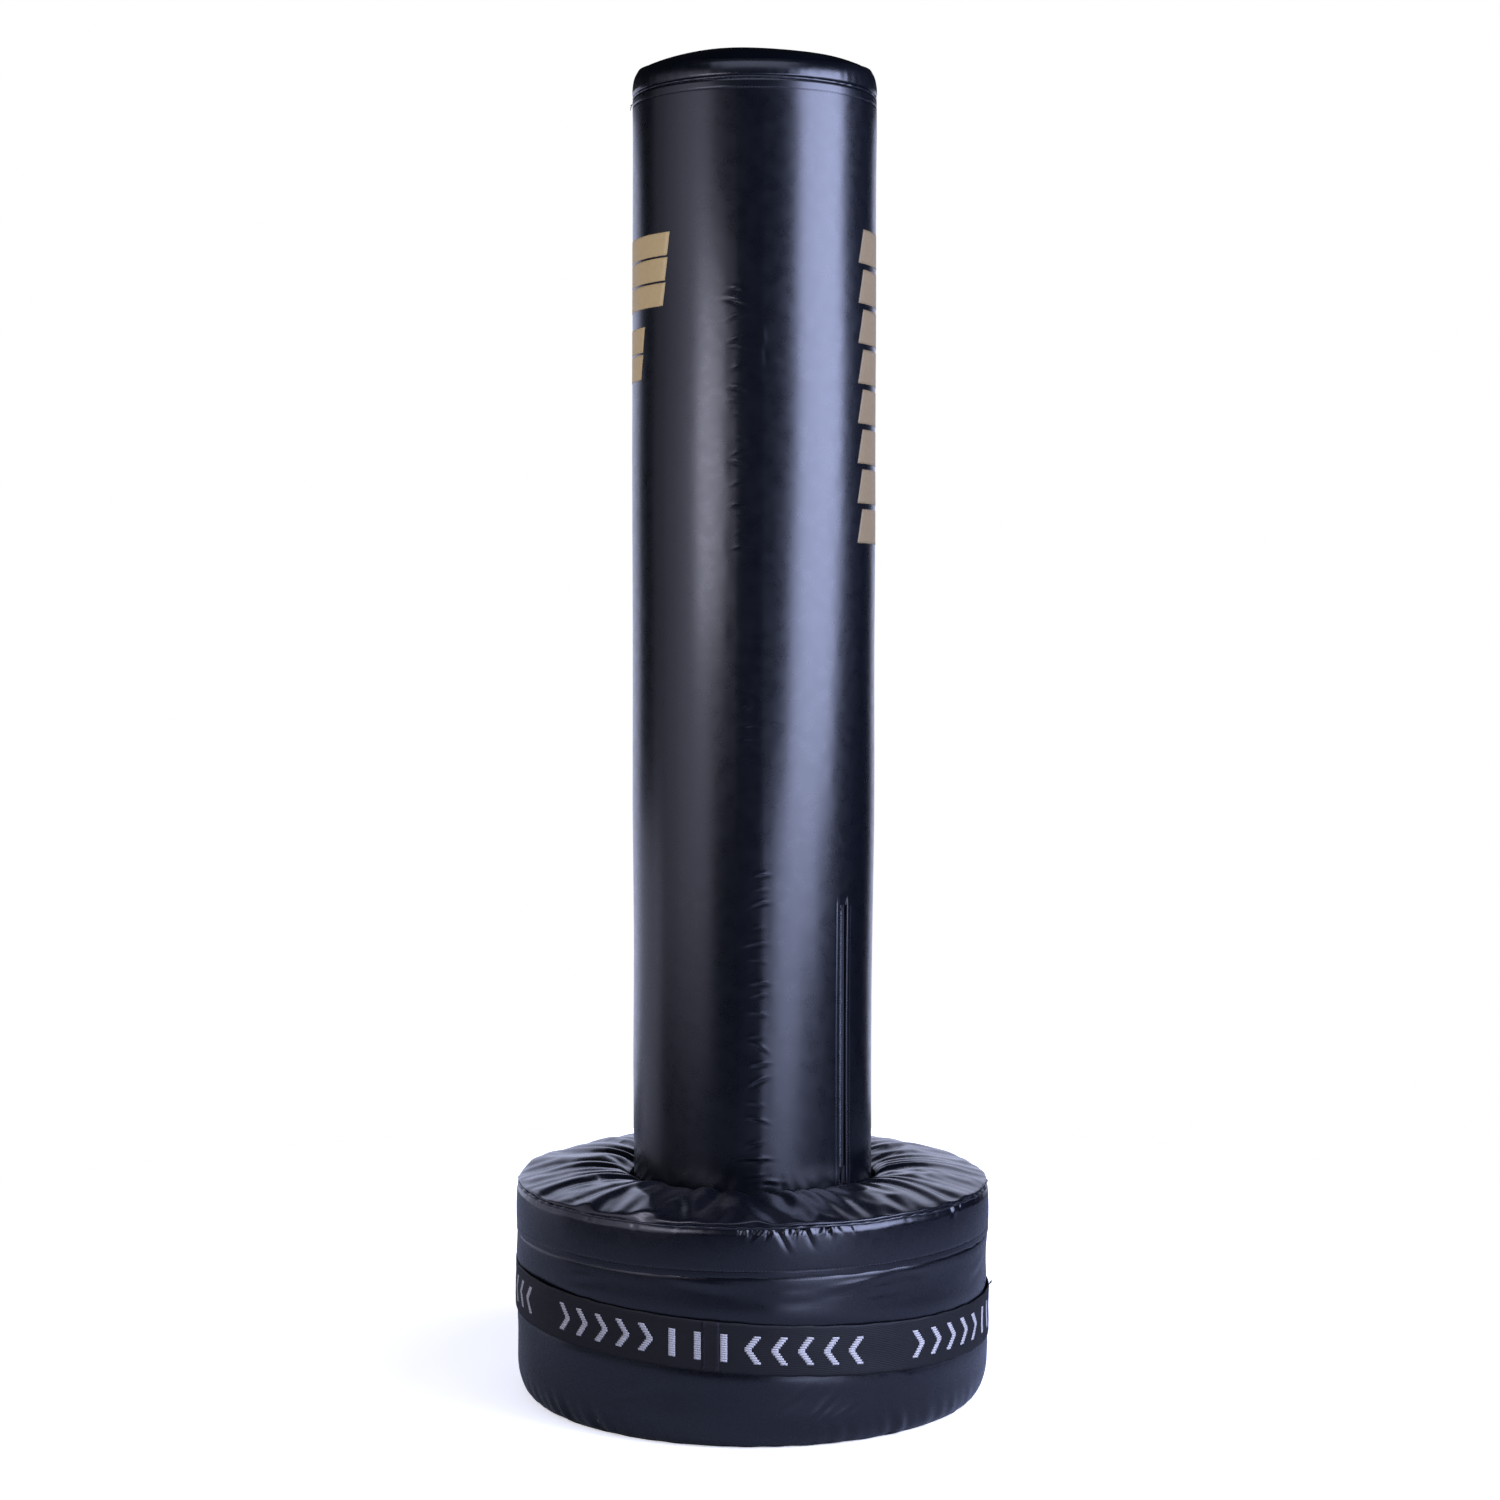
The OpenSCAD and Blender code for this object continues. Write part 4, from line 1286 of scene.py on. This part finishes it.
def backdrop(extent, name, radiance, colour):
    """Lit part of the wall behind: extent is its left and right edge and its top."""
    left, right, top = extent
    middle_x = (left + right) / 2
    phi = math.degrees(math.atan2(middle_x, -BACKDROP_Y))
    distance = math.hypot(middle_x, BACKDROP_Y)
    panel = softbox(name, phi, distance, top / 2, (right - left, top), radiance, colour, top / 2)
    panel.rotation_euler = (math.pi / 2, 0, math.pi)


def lights():
    """Right: a broad bank whose lower part swings to the front. Left: a small bright box by dim strips."""
    cool = (0.57, 0.64, 1.0)
    near = 1.55
    bank = (
        # angle, width, lowest and highest edge, radiance
        (63.5, 1.36, 1.14, 2.35, 14.5),
        (57, 1.30, 0.92, 1.14, 14.0),
        (53, 1.24, 0.66, 0.92, 12.5),
        (40, 1.16, 0.40, 0.66, 9.0),
        (29, 0.80, 0.20, 0.40, 6.0),
        (24, 0.66, 0.04, 0.20, 3.6),
    )
    for k, (phi, width, bottom, top, radiance) in enumerate(bank):
        z = (bottom + top) / 2
        softbox(f"right_box_{k}", phi, near, z, (width, top - bottom), radiance, cool, z)
    softbox("left_box", -39, near, 1.29, (0.70, 0.58), 7.0, (0.80, 0.80, 1.0), 1.29)
    for k, (phi, radiance) in enumerate(((-47, 1.9), (-63, 1.5), (-79, 0.9), (-96, 0.45))):
        softbox(f"left_strip_{k}", phi, near + 0.06, 1.25, (0.46, 1.9), radiance, (0.74, 0.75, 1.0), 1.25)
    softbox("left_low_box", -112, near, 0.35, (1.0, 0.6), 0.9, (0.72, 0.74, 1.0), 0.35)
    softbox("top_box", 0, 1.05, 2.9, (1.8, 1.3), 2.2, (0.66, 0.71, 1.0), 1.7)
    for k, (left, right, top) in enumerate(((-2.07, -0.42, 2.05), (-0.42, 0.38, 1.35), (0.38, 1.35, 2.05))):
        backdrop((left, right, top), f"back_box_{k}", 1.6, (0.68, 0.73, 1.0))


def floor():
    """Plain pale floor: a white sweep to the eye, and grey as a source of light."""
    look = Look("floor_white", (0.93, 0.93, 0.94), 0.9)
    look.tint(look.noise(3), (0.92, 0.92, 0.93), (0.94, 0.94, 0.95))
    look.shader.inputs["Emission Color"].default_value = (1, 1, 1, 1)
    away = look.node("ShaderNodeVectorMath", operation="LENGTH")
    look.link(look.place, away.inputs[0])
    glow = look.ranged(away.outputs["Value"], 0.45, 1.2, 0.50, 1.0)
    look.link(glow, look.shader.inputs["Emission Strength"])
    grey = look.node("ShaderNodeBsdfDiffuse")
    grey.inputs["Color"].default_value = (0.36, 0.38, 0.42, 1)
    mixed = look.node("ShaderNodeMixShader")
    output = look.tree.nodes["Material Output"]
    look.link(look.node("ShaderNodeLightPath").outputs["Is Camera Ray"], mixed.inputs[0])
    look.link(grey.outputs["BSDF"], mixed.inputs[1])
    look.link(look.shader.outputs["BSDF"], mixed.inputs[2])
    look.link(mixed.outputs["Shader"], output.inputs["Surface"])
    ring = circle(96)
    points = [spot(ring, r, FLOOR_Z) for r in (0.4, 1.2, 1.85)]
    centre = len(points) * len(ring)
    faces = upward_faces(len(points), len(ring))
    faces += [(centre, j, (j + 1) % len(ring)) for j in range(len(ring))]
    points = np.concatenate([np.array(points).reshape(-1, 3), [[0, 0, FLOOR_Z]]])
    sweep = add_mesh("floor", points, faces, look.material)


def world():
    """White to the eye, and nearly dark as a source of light."""
    made = bpy.data.worlds.new("studio")
    bpy.context.scene.world = made
    made.use_nodes = True
    tree = made.node_tree
    background = tree.nodes["Background"]
    background.inputs["Color"].default_value = (1.0, 1.0, 1.0, 1)
    seen = tree.nodes.new("ShaderNodeLightPath")
    strength = tree.nodes.new("ShaderNodeMapRange")
    strength.inputs["To Min"].default_value = 0.008
    strength.inputs["To Max"].default_value = 1.0
    tree.links.new(seen.outputs["Is Camera Ray"], strength.inputs["Value"])
    tree.links.new(strength.outputs["Result"], background.inputs["Strength"])


def camera():
    data = bpy.data.cameras.new("camera")
    data.lens = LENS
    data.sensor_width = 36
    holder = bpy.data.objects.new("camera", data)
    bpy.context.collection.objects.link(holder)
    holder.location = CAMERA_AT
    holder.rotation_euler = (CAMERA_TILT, CAMERA_ROLL, 0)
    bpy.context.scene.camera = holder


# ---- Build ----

dress_nodes()
remove_loose(bag_skin())
top_band()
top_dome()
top_seam()
top_stitching()
zip_coil()
zip_stitching()
prints()
gathered_panel()
rim_welt()
side_band()
band_stitching()
side_wall()
floor_hem()
belt_set()
spring("lower_coil", "lower_spring")
spring("upper_coil", "upper_spring")
floor()
lights()
world()
camera()
bpy.context.scene.view_settings.view_transform = "Standard"
